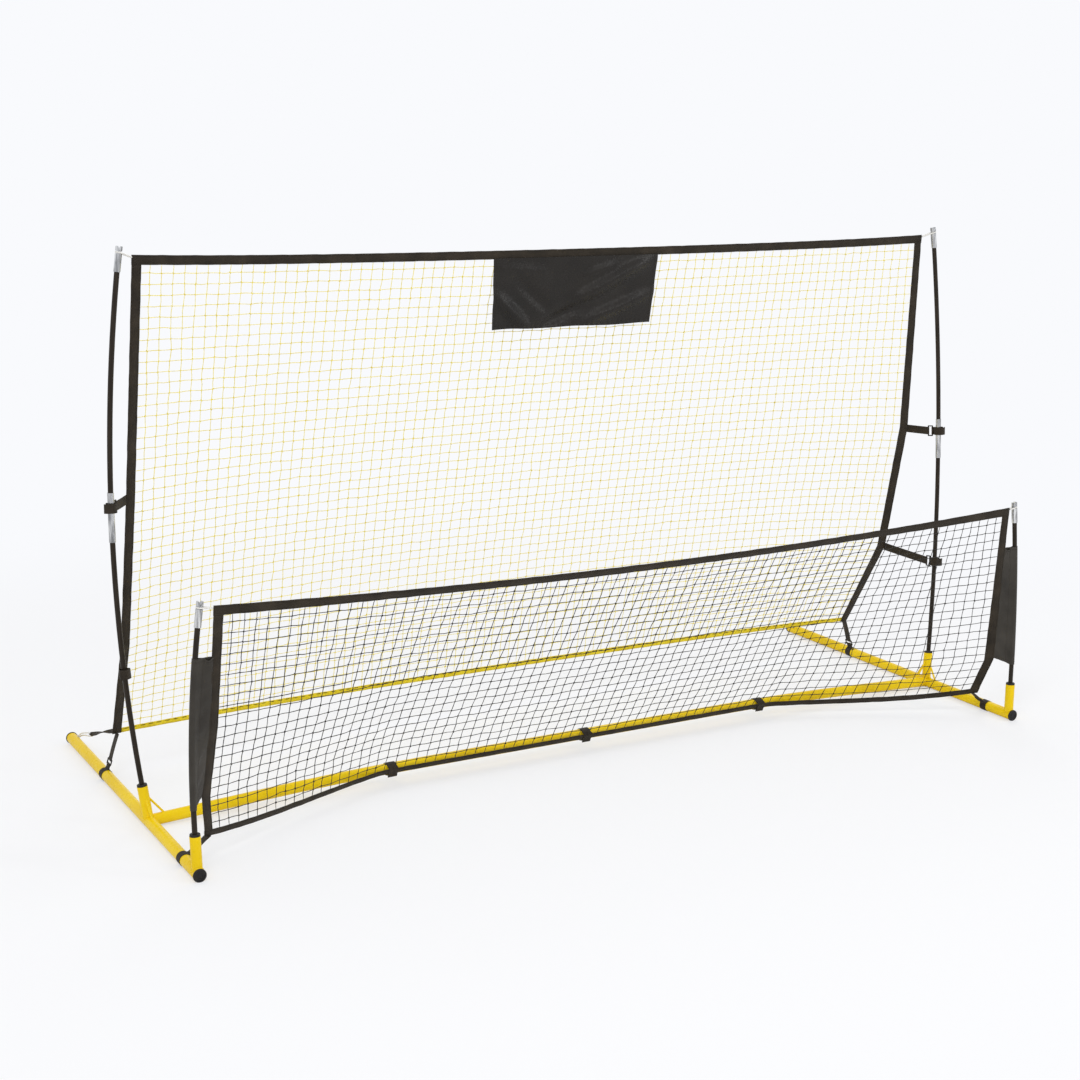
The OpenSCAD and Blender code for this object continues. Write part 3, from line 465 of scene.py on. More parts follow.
def tight_ends(count, edge):
    """Shares from 0 to 1 with a narrow first and last step."""
    return np.concatenate([[0], np.linspace(edge, 1 - edge, count), [1]])


# ---- Finishes ----

TAPE_PITCH, THREAD_PITCH, CLOTH_PITCH = 0.0011, 0.0006, 0.0007
TWINE_LAY, BRAID_LAY = 0.004, 0.003


def colour(r, g, b):
    """Colour of a render's 8-bit values."""
    def linear(c):
        c /= 255
        return c / 12.92 if c <= 0.04045 else ((c + 0.055) / 1.055) ** 2.4
    return (linear(r), linear(g), linear(b), 1)


def shades(dark, light, usual):
    """Ramp stops of a surface, from its darkest colour to its lightest."""
    return (0.25, dark), (0.5, usual), (0.78, light)


class Nodes:
    """Short calls that add nodes to a tree."""

    def __init__(self, tree):
        self.tree = tree

    def put(self, socket, value):
        if isinstance(value, bpy.types.NodeSocket):
            self.tree.links.new(value, socket)
        else:
            socket.default_value = value

    def node(self, kind, inputs, **settings):
        made = self.tree.nodes.new("ShaderNode" + kind)
        for key, value in settings.items():
            setattr(made, key, value)
        for key, value in inputs.items():
            self.put(made.inputs[key], value)
        return made

    def maths(self, operation, *values):
        return self.node("Math", dict(enumerate(values)), operation=operation).outputs[0]


class Finish(Nodes):
    """A Principled material, with the name of a material slot of the record."""

    def __init__(self, name, slot="", **values):
        self.material, self.slot = bpy.data.materials.new(name), slot
        self.material.use_nodes = True
        super().__init__(self.material.node_tree)
        self.shader = self.tree.nodes["Principled BSDF"]
        for socket, value in values.items():
            self.drive(socket.replace("_", " "), value)

    def drive(self, socket, value):
        self.put(self.shader.inputs[socket], value)

    def noise(self, scale, detail=2.0, stretch=(1, 1, 1)):
        """Noise of about scale grains to the metre, in the object's own axes."""
        at = self.node("TexCoord", {}).outputs["Object"]
        at = self.node("Mapping", {"Vector": at, "Scale": stretch}).outputs[0]
        return self.node("TexNoise", {"Vector": at, "Scale": scale, "Detail": detail}).outputs[0]

    def place(self):
        """Along and across a swept piece, in metres."""
        at = self.node("UVMap", {}, uv_map="metres").outputs[0]
        return self.node("SeparateXYZ", {0: at}).outputs[:2]

    def wave(self, at, pitch):
        """Wave from 0 to 1 with a pitch in metres."""
        wave = self.maths("SINE", self.maths("MULTIPLY", at, 2 * math.pi / pitch))
        return self.maths("MULTIPLY_ADD", wave, 0.5, 0.5)

    def ramp(self, factor, stops):
        made = self.node("ValToRGB", {0: factor})
        elements = made.color_ramp.elements
        while len(elements) < len(stops):
            elements.new(1)
        for element, (at, shade) in zip(elements, stops):
            element.position = at
            element.color = colour(*shade)
        return made.outputs[0]

    def surface(self, factor, stops, rough, *bumps):
        """Colour by a ramp's stops, roughness by (factor, least, most), bumps by (height, metres)."""
        self.drive("Base Color", self.ramp(factor, stops))
        self.drive("Roughness", self.node("MapRange", dict(zip((0, 3, 4), rough))).outputs[0])
        under = {}
        for height, distance in bumps:
            bump = self.node("Bump", {"Height": height, "Distance": distance, **under})
            under = {"Normal": bump.outputs[0]}
        self.drive("Normal", under["Normal"])
        return self


def paint_finish():
    """Yellow powder coat: even colour, with fine orange peel over slow swells."""
    paint = Finish("yellow_paint", "painted_tube", Specular_IOR_Level=0.16)
    return paint.surface(paint.noise(9, 3), shades((228, 192, 8), (244, 211, 22), (237, 202, 14)),
                         (paint.noise(60, 4), 0.2, 0.36),
                         (paint.noise(420, 2), 0.00012), (paint.noise(45, 2), 0.0002))


def steel_finish():
    """Bare steel with a fine grain."""
    steel = Finish("bare_steel", "steel", Metallic=1.0)
    return steel.surface(steel.noise(200, 4), ((0.3, (176, 177, 180)), (0.7, (208, 209, 211))),
                         (steel.noise(300, 5), 0.22, 0.4), (steel.noise(900, 3), 0.00002))


def polished_finish():
    """Turned aluminium: fine rings round the pole's axis and soft smears, with painted reflection: light
    and dark streaks along the axis in its colour.
    """
    metal = Finish("silver_ferrule", "silver_metal", Metallic=1.0)
    # Painted reflection: the colour's noise, stretched along the pole's axis, gives light and dark streaks
    # that stand in for a polished metal's reflections.
    return metal.surface(metal.noise(170, 4, (1, 1, 0.12)),
                         ((0.36, (138, 139, 141)), (0.5, (186, 187, 189)), (0.64, (222, 223, 224))),
                         (metal.noise(120, 3), 0.16, 0.3), (metal.noise(90, 2, (0.2, 0.2, 40)), 0.00003))


def plastic_finish():
    """Moulded black plastic: nearly matt, with a fine grain."""
    plastic = Finish("black_plastic", "black_plastic", Specular_IOR_Level=0.35)
    return plastic.surface(plastic.noise(70, 4), shades((12, 11, 10), (32, 30, 28), (21, 19, 18)),
                           (plastic.noise(150, 3), 0.42, 0.6), (plastic.noise(1500, 2), 0.00005))


def pole_finish():
    """Black fibreglass: glassy, with faint streaks of its fibres along the rod."""
    rod = Finish("fibreglass_rod", "fibreglass", Specular_IOR_Level=0.2)
    fibres = rod.noise(260, 3, (1, 1, 0.03))
    return rod.surface(fibres, shades((25, 19, 12), (52, 44, 35), (38, 31, 23)), (fibres, 0.22, 0.4),
                       (fibres, 0.00005))


def wire_finish():
    """Black-coated ring wire, rubbed to bare metal in small spots."""
    wire = Finish("black_wire", "ring_wire", Specular_IOR_Level=0.4)
    rubbed = wire.maths("GREATER_THAN", wire.noise(240, 3), 0.7)
    wire.drive("Metallic", rubbed)
    return wire.surface(rubbed, ((0.0, (22, 20, 19)), (1.0, (120, 120, 122))),
                        (wire.noise(200, 3), 0.3, 0.5), (wire.noise(500, 2), 0.00003))


def webbing_finish(name, slot, tones, pitch=TAPE_PITCH):
    """Woven tape: ribs across it, crossed by fine warp ends, with fading."""
    tape = Finish(name, slot, Sheen_Weight=0.05, Sheen_Roughness=0.5, Specular_IOR_Level=0.25)
    run, width = tape.place()
    ends = tape.wave(tape.maths("MULTIPLY_ADD", run, 0.5, width), pitch * 0.8)
    weave = tape.maths("MULTIPLY", tape.wave(run, pitch), ends)
    worn = tape.maths("MULTIPLY_ADD", weave, 0.3, tape.maths("MULTIPLY", tape.noise(28, 5), 0.85))
    return tape.surface(worn, shades(*tones), (tape.noise(400, 3), 0.62, 0.85),
                        (weave, 0.00022), (tape.noise(120, 3), 0.0003))


def cloth_finish(name, tones, gloss, rough):
    """Coated nylon: a fine plain weave, slightly glossy on its folds."""
    cloth = Finish(name, name, Sheen_Weight=0.05, Sheen_Roughness=0.4, Specular_IOR_Level=gloss)
    weave = cloth.maths("MULTIPLY", *(cloth.wave(at, CLOTH_PITCH) for at in cloth.place()))
    return cloth.surface(cloth.noise(16, 4), shades(*tones), (cloth.noise(80, 3), rough, rough + 0.14),
                         (weave, 0.00008), (cloth.noise(70, 4), 0.0003))


def twine_finish(name, slot, tones, diameter):
    """Twisted twine: three strands that wind round it, a little fluffy."""
    twine = Finish(name, slot, Sheen_Weight=0.08, Sheen_Roughness=0.6, Specular_IOR_Level=0.25)
    run, turn = twine.place()
    lay = twine.maths("MULTIPLY_ADD", turn, 3 * TWINE_LAY / (math.pi * diameter), run)
    strand = twine.wave(lay, TWINE_LAY)
    shade = twine.maths("MULTIPLY_ADD", strand, 0.4, twine.maths("MULTIPLY", twine.noise(40, 3), 0.7))
    return twine.surface(shade, shades(*tones), (twine.noise(600, 2), 0.6, 0.85), (strand, 0.0002))


def elastic_finish():
    """White elastic: a braided cover of threads that cross each other."""
    cover = Finish("white_elastic", "white_elastic", Sheen_Weight=0.2, IOR=1.45)
    run, turn = cover.place()
    step = 4 * BRAID_LAY / (math.pi * ELASTIC_D)
    braid = cover.maths("MAXIMUM", *(cover.wave(cover.maths("MULTIPLY_ADD", turn, lay, run), BRAID_LAY)
                                     for lay in (step, -step)))
    return cover.surface(braid, ((0.4, (200, 198, 192)), (0.75, (230, 228, 223)), (1.0, (243, 242, 238))),
                         (cover.noise(300, 3), 0.5, 0.75), (braid, 0.00025))


WEBBING = webbing_finish("black_webbing", "black_webbing", ((30, 24, 16), (60, 51, 40), (43, 36, 26)))
THREAD = webbing_finish("black_thread", "black_webbing", ((24, 20, 14), (72, 64, 52), (48, 41, 32)),
                        THREAD_PITCH)
YELLOW_WEBBING = webbing_finish("yellow_webbing", "yellow_webbing",
                                ((212, 184, 14), (246, 226, 60), (231, 206, 26)))
YELLOW_THREAD = webbing_finish("yellow_thread", "yellow_webbing",
                               ((190, 172, 14), (236, 224, 60), (216, 200, 30)), THREAD_PITCH)
BANNER_FINISH = cloth_finish("banner_cloth", ((18, 15, 11), (32, 28, 23), (25, 21, 17)), 0.28, 0.2)
SLEEVE_FINISH = cloth_finish("sleeve_cloth", ((38, 34, 29), (60, 56, 50), (49, 45, 39)), 0.3, 0.42)
ELASTIC = elastic_finish()

# ---- Elastic cords ----

CORD_STEP = 0.001


def half_turn(centre, radius, first, second, count, start=0.0, end=math.pi):
    """Points on an arc from first towards second."""
    a = np.linspace(start, end, count)[:, None]
    return centre + radius * (np.cos(a) * first + np.sin(a) * second)


def smooth(path):
    """The path again with points about CORD_STEP apart and its corners eased."""
    s = lengths(path)
    line = sampled(path, s, np.linspace(0, s[-1], max(8, round(s[-1] / CORD_STEP))))
    for _ in range(3):
        line[1:-1] = (line[:-2] + 2 * line[1:-1] + line[2:]) / 4
    return line


def side_of(points, side):
    return points * [side, 1, 1]


def make_cord(name, path, node):
    build = Build()
    build.tube(path, ELASTIC_D / 2, 12)
    piece = build.make(name, ELASTIC, node)


def tip_frame(pole):
    """Foot and direction of the tip on a pole."""
    way = pole.way(pole.length - TIP_LENGTH / 2)
    return pole.at(pole.length - TIP_LENGTH / 2) - TIP_LENGTH / 2 * way, way


def tip_loop(corner, pole):
    """Out from a net's corner, round a tip's neck and back."""
    foot, up = tip_frame(pole)
    post = foot + (FERRULE_LENGTH + TIP_NECK / 2) * up
    out = unit(across(post - corner, up))
    aside = np.cross(up, out)
    radius = POLE_R - 0.0012 + ELASTIC_D / 2 + SLIDE
    spread = (ELASTIC_D / 2 + SLIDE) * aside
    turn = half_turn(post, radius, aside, out, 24)
    return smooth(np.concatenate([[corner + spread], turn, [corner - spread]]))


CAP_T, CAP_PLUG, PLUG_TO_HOLE = 0.003, 0.016, 0.009
HOLE_WAY = unit([-1, 0, 1])
HOLE_AT = np.array([RAIL_X, REAR_Y - CAP_T - CAP_PLUG - PLUG_TO_HOLE, RAIL_Z]) + TUBE_R * HOLE_WAY
TAIL_START = TALL_EDGE[3] + [-0.003, 0.0025, 0.006]
TAIL_TO = HOLE_AT + 0.003 * HOLE_WAY
TAIL_END = lerp(TAIL_START, TAIL_TO, 0.64)
TAIL_WAY = unit(TAIL_TO - TAIL_END)
TAIL_SIDE = unit(np.cross(TAIL_WAY, HOLE_WAY))
APEX = TAIL_END + (ELASTIC_D / 2 + SEWN) * TAIL_WAY
# Reach of the curve's handles, out of the hole and at its turn round the eye
LEAVES, ARRIVES = 0.016, 0.040


def rear_loop():
    """Out of the rail's hole, over to the eye at the tail's end and back, with no tight bend."""
    strand, wide = ELASTIC_D / 2 + SLIDE, 2 * ELASTIC_D
    bend = APEX + wide * TAIL_WAY
    a = HOLE_AT - (TUBE_WALL + SLIDE) * HOLE_WAY + strand * TAIL_SIDE
    d = bend + wide * TAIL_SIDE
    b, c = a + LEAVES * HOLE_WAY, d + ARRIVES * TAIL_WAY
    t = np.linspace(0, 1, 40)[:-1, None]
    out = a * (1 - t) ** 3 + 3 * b * t * (1 - t) ** 2 + 3 * c * t * t * (1 - t) + d * t ** 3
    turn = half_turn(bend, wide, TAIL_SIDE, -TAIL_WAY, 24)
    back = out[::-1] - 2 * ((out[::-1] - HOLE_AT) @ TAIL_SIDE)[:, None] * TAIL_SIDE
    return smooth(np.concatenate([out, turn, back]))


for side, word in SIDES:
    corners = ((TALL_EDGE, REAR_POLE, "tall"), (LOW_EDGE, FRONT_POLE, "low"))
    for edge, pole, net in corners:
        loop = tip_loop(edge[0] + [0.001, 0, -BAND_W / 4], pole)
        make_cord(f"{net}_tip_elastic_{word}", side_of(loop, side), "tip_elastic_loops")
    make_cord(f"rear_elastic_{word}", side_of(rear_loop(), side), "rear_elastic_loops")


KNOT_R, KNOT_SCALE = 0.0049, 0.0011


def make_knots():
    """Knots that hold the rear elastic inside the rails."""
    t = np.linspace(0, 2 * math.pi, 73)[:-1]
    trefoil = np.stack([np.sin(t) + 2 * np.sin(2 * t), np.cos(t) - 2 * np.cos(2 * t), -np.sin(3 * t)], 1)
    at = HOLE_AT - (TUBE_WALL + 2 * SLIDE + KNOT_R) * HOLE_WAY
    build = Build()
    build.tube(at + KNOT_SCALE * np.concatenate([trefoil, trefoil[:2]]), ELASTIC_D / 2 * 0.9, 8)
    build.mirror()
    build.make("elastic_knots", ELASTIC, "rear_elastic_loops")


make_knots()

# ---- Nets ----

TALL_TWINE_R, LOW_TWINE_R = 0.00066, 0.0008
KNOT_STRAY, STRAND_BOW = 0.0006, 0.0004
# How far the netting goes under the bands, and how thin its strands are where they end there
UNDER, HIDDEN_END = 0.7, 0.45


def jitter(shape, size):
    return chance.normal(0, size, shape)


def add_strand(build, line, normal, radius, thick):
    """A strand of five sides along a line of points, turned by the net's normal."""
    way = unit(np.gradient(line, axis=0))
    x = unit(normal - way * (normal * way).sum(1, keepdims=True))
    y = np.cross(way, x)
    a = 2 * math.pi * np.arange(5) / 5
    ring = np.cos(a)[None, :, None] * x[:, None] + np.sin(a)[None, :, None] * y[:, None]
    rows = line[:, None] + radius * thick[:, None, None] * ring
    rows = np.concatenate([rows, rows[:, :1] * 0.5 + rows[:, -1:] * 0.5], axis=1)
    build.loft(rows, grid_spots(lengths(line), np.linspace(0, 2 * math.pi * radius, 7)))


def bowed(line, bow):
    """The line with a point added between each two, drawn aside a little."""
    between = (line[1:] + line[:-1]) / 2 + jitter(line[1:].shape, bow)
    out = np.empty((2 * len(line) - 1, 3))
    out[0::2], out[1::2] = line, between
    return out


def knot_shape(radius, size):
    """A knot: a turn of twine that lies round the crossing, at a slant."""
    build = Build()
    t = np.linspace(0, 2 * math.pi, 6)
    ring = np.stack([0 * t, np.cos(t) * 1.15, np.sin(t) * 0.95], 1) * radius * size
    build.tube(ring, radius * 1.1, 4, (1, 0, 0))
    return build


def netting(name, shape, us, vs, cells, radius, knot, finish, node):
    """Knotted netting between u and v limits, with whole cells each way."""
    nu, nv = cells
    u, v = np.meshgrid(np.linspace(*us, nu + 1), np.linspace(*vs, nv + 1), indexing="ij")
    knots = shape(u, v)
    normals = front_normal(shape, u, v)
    inner = (slice(1, -1), slice(1, -1))
    knots[inner] += jitter(knots[inner].shape, KNOT_STRAY)
    strands = Build()
    for lines, facing in ((knots, normals), (knots.transpose(1, 0, 2), normals.transpose(1, 0, 2))):
        for line, normal in list(zip(lines, facing))[1:-1]:
            bent = bowed(line, STRAND_BOW)
            thick = 1 + 0.12 * chance.standard_normal(len(bent)).clip(-1.5, 1.5)
            thick[[0, -1]] = HIDDEN_END
            add_strand(strands, bent, np.repeat(normal, 2, axis=0)[:-1], radius, thick)
    strands.make(name, finish, node)
    du, dv = unit(np.gradient(knots, axis=0))[inner], unit(np.gradient(knots, axis=1))[inner]
    slant = np.where(chance.random(du.shape[:2] + (1,)) < 0.5, 1.0, -1.0)
    x = unit(du + slant * dv * (0.6 + 0.8 * chance.random(du.shape[:2] + (1,))))
    z = normals[inner]
    y = np.cross(z, x)
    size = 1 + 0.15 * chance.standard_normal(du.shape[:2] + (1,)).clip(-1.5, 1.5)
    frames = np.stack([x * size, y * size, z * size, knots[inner]], -1).reshape(-1, 3, 4)
    ties = Build()
    ties.stamp(knot_shape(radius, knot), frames)
    ties.make(name + "_knots", finish, node)


YELLOW_TWINE = twine_finish("yellow_twine", "yellow_netting",
                            ((236, 212, 56), (255, 242, 126), (248, 228, 82)), 2 * TALL_TWINE_R)
BLACK_TWINE = twine_finish("black_twine", "black_netting",
                           ((16, 13, 10), (46, 41, 35), (29, 25, 20)), 2 * LOW_TWINE_R)
NET_US = (UNDER * BAND_U - 1, 1 - UNDER * BAND_U)
netting("tall_netting", tall, NET_US, (UNDER * TALL_BAND_V, 1 - UNDER * HEM_V), (82, 48),
        TALL_TWINE_R, 2.5, YELLOW_TWINE, "tall_net")
netting("low_netting", low, NET_US, (UNDER * LOW_BAND_V, 1 - UNDER * FOOT_BAND_V), (80, 22),
        LOW_TWINE_R, 1.6, BLACK_TWINE, "low_net")

# ---- Webbing bands ----

# Outline of a folded band: share of its width from its open edge, share of half its thickness
BAND_OUTLINE = np.array([
    (0.000, 0.50), (0.030, 0.90), (0.110, 1.00), (0.165, 0.58), (0.220, 1.00), (0.500, 1.10),
    (0.780, 1.00), (0.835, 0.58), (0.890, 1.00), (0.965, 0.88), (0.995, 0.50), (1.000, 0.15),
])
BAND_OUTLINE = np.concatenate([BAND_OUTLINE, BAND_OUTLINE[::-1] * [1, -1]])
STITCH_LENGTH, STITCH_STEP, STITCH_R = 0.0030, 0.0042, 0.00035
LACE_LENGTH, LACE_STEP, LACE_R = 0.0130, 0.0195, 0.0009
STITCH_ROWS, STITCH_LEVEL, STITCH_STRAY = (0.165, 0.835), 0.64, 0.06
EDGE_WAVE, EDGE_PACE = 0.00015, 1.3
BAND_WAVE, WAVE_SLANT = 0.00022, 0.012


def stitch_shape(length, radius):
    """One stitch along x, bowed into the cloth at both ends."""
    build = Build()
    t = np.linspace(-1, 1, 4)
    path = np.stack([t * length / 2, 0 * t, radius * 1.4 * (1 - t * t) - radius * 0.6], 1)
    build.tube(path, radius, 4, (0, 1, 0))
    return build


STITCH, LACE = stitch_shape(STITCH_LENGTH, STITCH_R), stitch_shape(LACE_LENGTH, LACE_R)


def stitches(build, line, normal, lift=0.0, step=STITCH_STEP, stitch=STITCH):
    """A row of stitches along a line of points on a surface with those normals."""
    s = lengths(line)
    at = np.arange(step / 2, s[-1], step)
    at = at + chance.uniform(-1, 1, len(at)) * step * STITCH_STRAY
    x = unit(sampled(np.gradient(line, axis=0), s, at))
    z = sampled(normal, s, at)
    z = unit(z - x * (x * z).sum(1, keepdims=True))
    place = sampled(line, s, at) + lift * z
    build.stamp(stitch, np.stack([x, np.cross(z, x), z, place], -1))


def ripple(s, size, phase):
    """Slow waves along a band, from its length in metres."""
    waves = sum(np.sin(2 * math.pi * s / pitch + phase * k) / k
                for k, pitch in ((1, 0.083), (2, 0.047), (3, 0.031)))
    return size * waves


def band(name, shape, edges, width, steps, finish, threads, node, phase):
    """Webbing folded over a net's edge. edges has the (u, v) ends of its open edge and of its fold."""
    inner, outer = edges
    run = np.linspace(0, 1, steps + 1)[:, None]
    total = lengths(shape(*(lerp(a, b, run[:, 0]) for a, b in zip(*inner))))[:, None]

    def spot(b):
        """u and v all along the band, at a share of its width."""
        b = b + ripple(total * EDGE_PACE, EDGE_WAVE / width, phase + 1) - 2 * EDGE_WAVE / width
        return [lerp(lerp(i0, i1, run), lerp(o0, o1, run), b) for i0, i1, o0, o1 in zip(*inner, *outer)]

    def lift(share):
        return ripple(total + WAVE_SLANT * share, BAND_WAVE, phase)

    share, high = BAND_OUTLINE[None, :, 0], BAND_OUTLINE[None, :, 1]
    girth = lengths(np.concatenate([BAND_OUTLINE, BAND_OUTLINE[:1]]) * [width, BAND_T / 2])
    build = Build()
    build.loft(lifted(shape, *spot(share), high * BAND_T / 2 + lift(share)), grid_spots(total[:, 0], girth))
    build.make(name, finish, node)
    for row, (thread, step, stitch) in zip(STITCH_ROWS, threads):
        u, v = (value[:, 0] for value in spot(row))
        normal = front_normal(shape, u, v)
        for face in (1, -1):
            line = shape(u, v) + (face * BAND_T / 2 * STITCH_LEVEL + lift(row)) * normal
            stitches(thread, line, face * normal, 0.0, step, stitch)


def level_edges(end, inner, outer):
    """Edges of a band that runs across a net."""
    return ((-end, inner), (end, inner)), ((-end, outer), (end, outer))


def side_edges(side, start, end):
    """Edges of a band that runs down a net's side."""
    near = side * (1 - BAND_U)
    return ((near, start), (near, end)), ((side, start), (side, end))


tall_stitches, low_stitches, hem_stitches = Build(), Build(), Build()
FOOT_V, LOW_GAP_V, TALL_GAP_V = 1 - FOOT_BAND_V, SEWN / LOW_LENGTH, SEWN / TALL_LENGTH
HEM_END = 1 - BAND_U - 2 * SEWN / LOW_EDGE[0, 0]
TALL_BLACK = (WEBBING, ((tall_stitches, STITCH_STEP, STITCH),) * 2)
LOW_BLACK = (WEBBING, ((low_stitches, STITCH_STEP, STITCH),) * 2)
HEM_YELLOW = (YELLOW_WEBBING, ((tall_stitches, LACE_STEP, LACE), (hem_stitches, STITCH_STEP, STITCH)))
band("tall_top_webbing", tall, level_edges(1, TALL_BAND_V, 0), BAND_W, 400, *TALL_BLACK,
     "tall_net_top_band", 0.4)
band("tall_hem_webbing", tall, level_edges(HEM_END, 1 - HEM_V, 1), HEM_W, 300, *HEM_YELLOW,
     "tall_net_hem", 1.3)
band("low_top_webbing", low, level_edges(1, LOW_BAND_V, 0), BAND_W, 400, *LOW_BLACK,
     "low_net_top_band", 2.1)
band("low_bottom_webbing", low, level_edges(1, FOOT_V, 1), FOOT_BAND_W, 400, *LOW_BLACK,
     "low_net_bottom_band", 2.9)
for side, word in SIDES:
    band(f"tall_side_webbing_{word}", tall, side_edges(side, TALL_BAND_V + TALL_GAP_V, 1), BAND_W, 200,
         *TALL_BLACK, f"tall_net_side_band_{word}", 3.3 + side)
    band(f"low_side_webbing_{word}", low, side_edges(side, LOW_BAND_V + LOW_GAP_V, FOOT_V - LOW_GAP_V),
         BAND_W, 100, *LOW_BLACK, f"low_net_side_band_{word}", 5.1 + side)

# ---- Banner ----

HEM_FOLD, HEM_LAYERS = 0.009, 1.9
SEAM_SHARE = 0.8


def make_banner():
    s, v = tight_ends(120, 0.002), tight_ends(60, 0.004)
    u, v = np.meshgrid(2 * s - 1, v, indexing="ij")
    grid = banner(u, v)
    from_side = (1 - np.abs(u)) * BANNER_W / 2
    from_foot = (1 - v) * BANNER_H
    hem = np.minimum(from_side, from_foot) < HEM_FOLD
    build = Build()
    build.cloth(grid, BANNER_CLOTH * np.where(hem, HEM_LAYERS, 1.0),
                np.stack([u * BANNER_W / 2, v * BANNER_H], -1))
    piece = build.make("banner_cloth", BANNER_FINISH, "banner_panel")
    inset = 1 - 2 * HEM_FOLD * SEAM_SHARE / BANNER_W
    foot = 1 - HEM_FOLD * SEAM_SHARE / BANNER_H
    run = np.linspace(0, 1, 60)
    lines = ((0 * run - inset, run * foot), (0 * run + inset, run * foot),
             (lerp(-inset, inset, run), 0 * run + foot))
    for line_u, line_v in lines:
        line = banner(line_u, line_v)
        ahead, down = banner(line_u + 0.01, line_v), banner(line_u, line_v + 0.01)
        normal = unit(np.cross(down - line, ahead - line))
        for face in (1, -1):
            stitches(tall_stitches, line, face * normal, BANNER_CLOTH * 0.95)


make_banner()

# ---- Sleeves on the front poles ----

SLEEVE_CLOTH = 0.0008
SEAM = 0.003
PANEL_FROM, PANEL_POINTS, TURN_POINTS, TURN_GAP = 0.016, 12, 18, 0.9
CREASE, SWELL, CALM_EDGE = 0.0012, 0.0009, 0.012
MOUTH_GAPE, MOUTH_DROOP, MOUTH_DEPTH = 0.0042, 0.0060, 0.016
SLEEVE_HEM = 0.007
SLEEVE_TOP, SLEEVE_BOTTOM, SLEEVE_SLANT = 0.353, 0.052, 0.011


def sleeve_rows(steps):
    """Cross-sections of a sleeve: from the net's edge, round the pole and back."""
    rows = []
    radius = POLE_R + LOOSE + SLEEVE_CLOTH / 2
    for share in tight_ends(steps, 0.004):
        s = lerp(SLEEVE_TOP, SLEEVE_BOTTOM, share)
        p, up = FRONT_POLE.at(s), FRONT_POLE.way(s)
        edge = at_height(LOW_EDGE, p[2] + SLEEVE_SLANT * share)
        x = unit(across(edge - p, up))
        y = np.cross(up, x)
        end = edge + SEAM * unit(edge - p)
        reach = np.linalg.norm(end - p)
        flat = unit(end - p)
        panel = np.linspace(reach, PANEL_FROM, PANEL_POINTS)
        crease = (CREASE * np.sin(38 * share + 90 * panel) * np.sin(math.pi * (panel / reach)) ** 2
                  + SWELL * np.sin(13 * share - 60 * panel))
        calm = np.clip((reach - panel) / CALM_EDGE, 0, 1)
        layer = p + panel[:, None] * flat + (crease * calm)[:, None] * y
        apart = SLEEVE_CLOTH / 2 + 0.00005
        bow = np.sin(math.pi * (panel - PANEL_FROM) / (reach - PANEL_FROM))
        mouth = (math.exp((s - SLEEVE_TOP) / MOUTH_DEPTH) * bow)[:, None]
        turn = half_turn(p, radius, x, y, TURN_POINTS, TURN_GAP, 2 * math.pi - TURN_GAP)
        near = layer + apart * y + mouth * (MOUTH_GAPE * y - MOUTH_DROOP * up)
        rows.append(np.concatenate([near, turn, (layer - apart * y - mouth * MOUTH_GAPE / 3 * y)[::-1]]))
    return np.array(rows)


def make_sleeves():
    rows = sleeve_rows(60)
    last = rows.shape[1] - 1
    for side, word in SIDES:
        grid = side_of(rows, side)
        girth, drop = lengths(grid[len(grid) // 2]), lengths(grid[:, (last + 1) // 2])
        build = Build()
        build.cloth(grid, SLEEVE_CLOTH, np.stack(np.broadcast_arrays(girth, drop[:, None]), -1))
        piece = build.make(f"sleeve_{word}", SLEEVE_FINISH, f"pole_sleeve_{word}")
        for column in (PANEL_POINTS - 1, last + 1 - PANEL_POINTS):
            line = grid[:, column]
            normal = unit(np.cross(grid[:, column + 1] - line, np.gradient(line, axis=0)))
            outer = unit(line - grid[:, last - column])
            normal = np.where((normal * outer).sum(1, keepdims=True) < 0, -normal, normal)
            stitches(low_stitches, line, normal, SLEEVE_CLOTH * 0.5)
        for depth in (SLEEVE_HEM, float(drop[-1]) - SLEEVE_HEM):
            row = np.array([sampled(grid[:, j], drop, depth) for j in range(last + 1)])
            normal = unit(np.cross(np.gradient(row, axis=0), grid[0] - grid[-1]))
            faces_front = normal[:PANEL_POINTS].mean(0)[1] < 0
            stitches(low_stitches, row, normal if faces_front else -normal, SLEEVE_CLOTH * 0.5)


make_sleeves()

# ---- Straps ----


LAYER = 0.00075
WEB_SHARES = tight_ends(5, 0.03) - 0.5


def webbing_loop(build, frame_matrix, path, width, thickness, rise=0.0):
    """Webbing along a path in a frame's x and y, as wide as width along its z."""
    across_w = WEB_SHARES * width
    flat = np.concatenate([path, np.zeros((len(path), 1))], axis=1)
    grid = flat[:, None] + across_w[None, :, None] * np.array([0, 0, 1.0])
    grid[..., 2] += np.reshape(rise, (-1, 1))
    build.cloth(placed(frame_matrix, grid), thickness, grid_spots(lengths(flat), across_w))


def turn2(radius, start, end, count, at=0.0):
    a = np.radians(np.linspace(start, end, count))
    return np.stack([at + radius * np.cos(a), radius * np.sin(a)], 1)


TAB_LAP = 0.003
FLAP_T, FLAP_OVER, FLAP_LIFT = 0.0011, 0.0010, 0.0035
STRAP_STITCH_STEP = 0.0036


